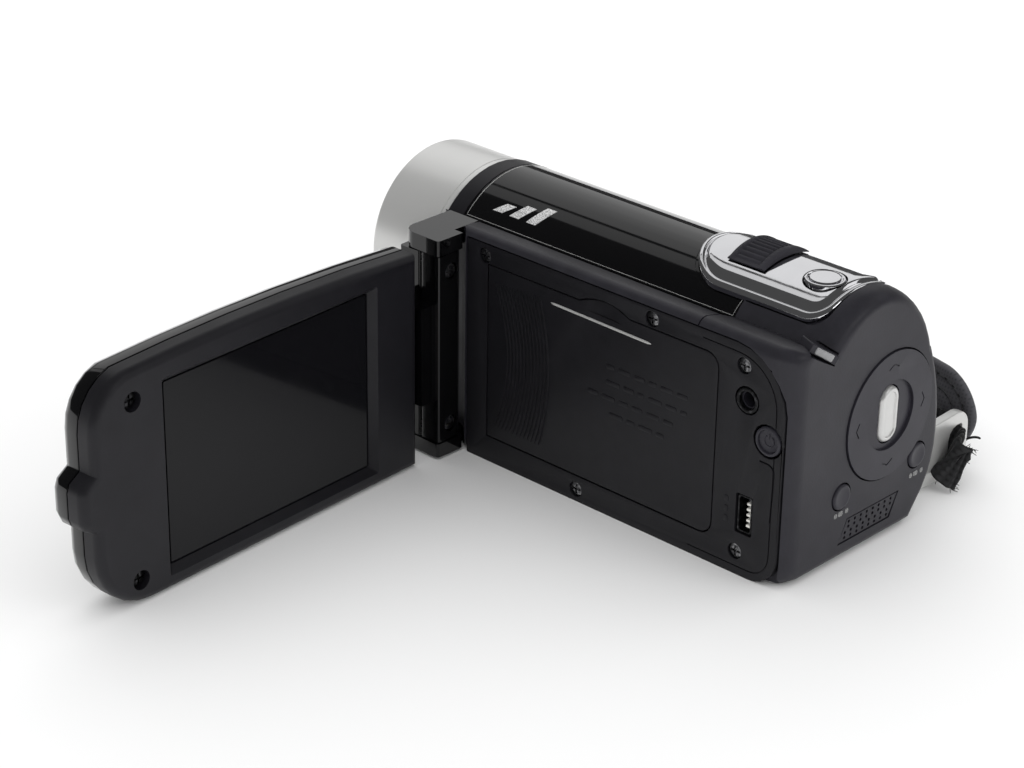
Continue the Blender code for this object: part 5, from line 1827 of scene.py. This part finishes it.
class CAMCORDER_OT_stage(CamcorderPiece, bpy.types.Operator):
    """Make the camera, the floor and the lights"""

    bl_idname = "camcorder.stage"
    bl_label = "Stage"
    steps = (make_camera, make_stage)


class CAMCORDER_OT_lens(CamcorderPiece, bpy.types.Operator):
    """Make the lens ring, its cone and its glass"""

    bl_idname = "camcorder.lens"
    bl_label = "Lens"
    steps = (make_lens_ring, make_lens_inside)


class CAMCORDER_OT_casing(CamcorderPiece, bpy.types.Operator):
    """Make the casing and the polished barrel cover"""

    bl_idname = "camcorder.casing"
    bl_label = "Casing"
    steps = (make_casing, make_barrel_cover)


class CAMCORDER_OT_side(CamcorderPiece, bpy.types.Operator):
    """Make the side plate, battery door, sockets and power button"""

    bl_idname = "camcorder.side"
    bl_label = "Side plate"
    steps = (make_side_plate, make_battery_door, make_jack, make_usb, make_power_button)


class CAMCORDER_OT_screen(CamcorderPiece, bpy.types.Operator):
    """Make the hinge and the screen panel"""

    bl_idname = "camcorder.screen"
    bl_label = "Screen"
    steps = (make_hinge, make_panel)


class CAMCORDER_OT_controls(CamcorderPiece, bpy.types.Operator):
    """Make the rear and top controls"""

    bl_idname = "camcorder.controls"
    bl_label = "Controls"
    steps = (make_rear_controls, make_top_controls, make_small_parts)


class CAMCORDER_OT_strap(CamcorderPiece, bpy.types.Operator):
    """Make the strap, its webbing and its loops"""

    bl_idname = "camcorder.strap"
    bl_label = "Strap"
    steps = (make_strap,)


OPERATORS = (
    CAMCORDER_OT_stage,
    CAMCORDER_OT_lens,
    CAMCORDER_OT_casing,
    CAMCORDER_OT_side,
    CAMCORDER_OT_screen,
    CAMCORDER_OT_controls,
    CAMCORDER_OT_strap,
)


class CAMCORDER_PT_sidebar(bpy.types.Panel):
    """The camcorder's settings and making buttons"""

    bl_idname = "CAMCORDER_PT_sidebar"
    bl_label = "Camcorder"
    bl_space_type = "VIEW_3D"
    bl_region_type = "UI"
    bl_category = "Camcorder"

    def draw(self, context):
        """List the settings, then one button for each group of pieces."""
        for group in (context.scene.camcorder_sizes, context.scene.camcorder_looks):
            for name in group.__annotations__:
                self.layout.prop(group, name)
        for operator in OPERATORS:
            self.layout.operator(operator.bl_idname)


CLASSES = (CamcorderSizes, CamcorderLooks, *OPERATORS, CAMCORDER_PT_sidebar)


def register():
    """Add the classes and the scene's settings."""
    for item in CLASSES:
        bpy.utils.register_class(item)
    bpy.types.Scene.camcorder_sizes = bpy.props.PointerProperty(type=CamcorderSizes)
    bpy.types.Scene.camcorder_looks = bpy.props.PointerProperty(type=CamcorderLooks)


def unregister():
    """Take them away again."""
    del bpy.types.Scene.camcorder_looks
    del bpy.types.Scene.camcorder_sizes
    for item in reversed(CLASSES):
        bpy.utils.unregister_class(item)


def main():
    """Make everything."""
    register()
    for operator in OPERATORS:
        group, name = operator.bl_idname.split(".")
        getattr(getattr(bpy.ops, group), name)()


if __name__ == "__main__":
    main()
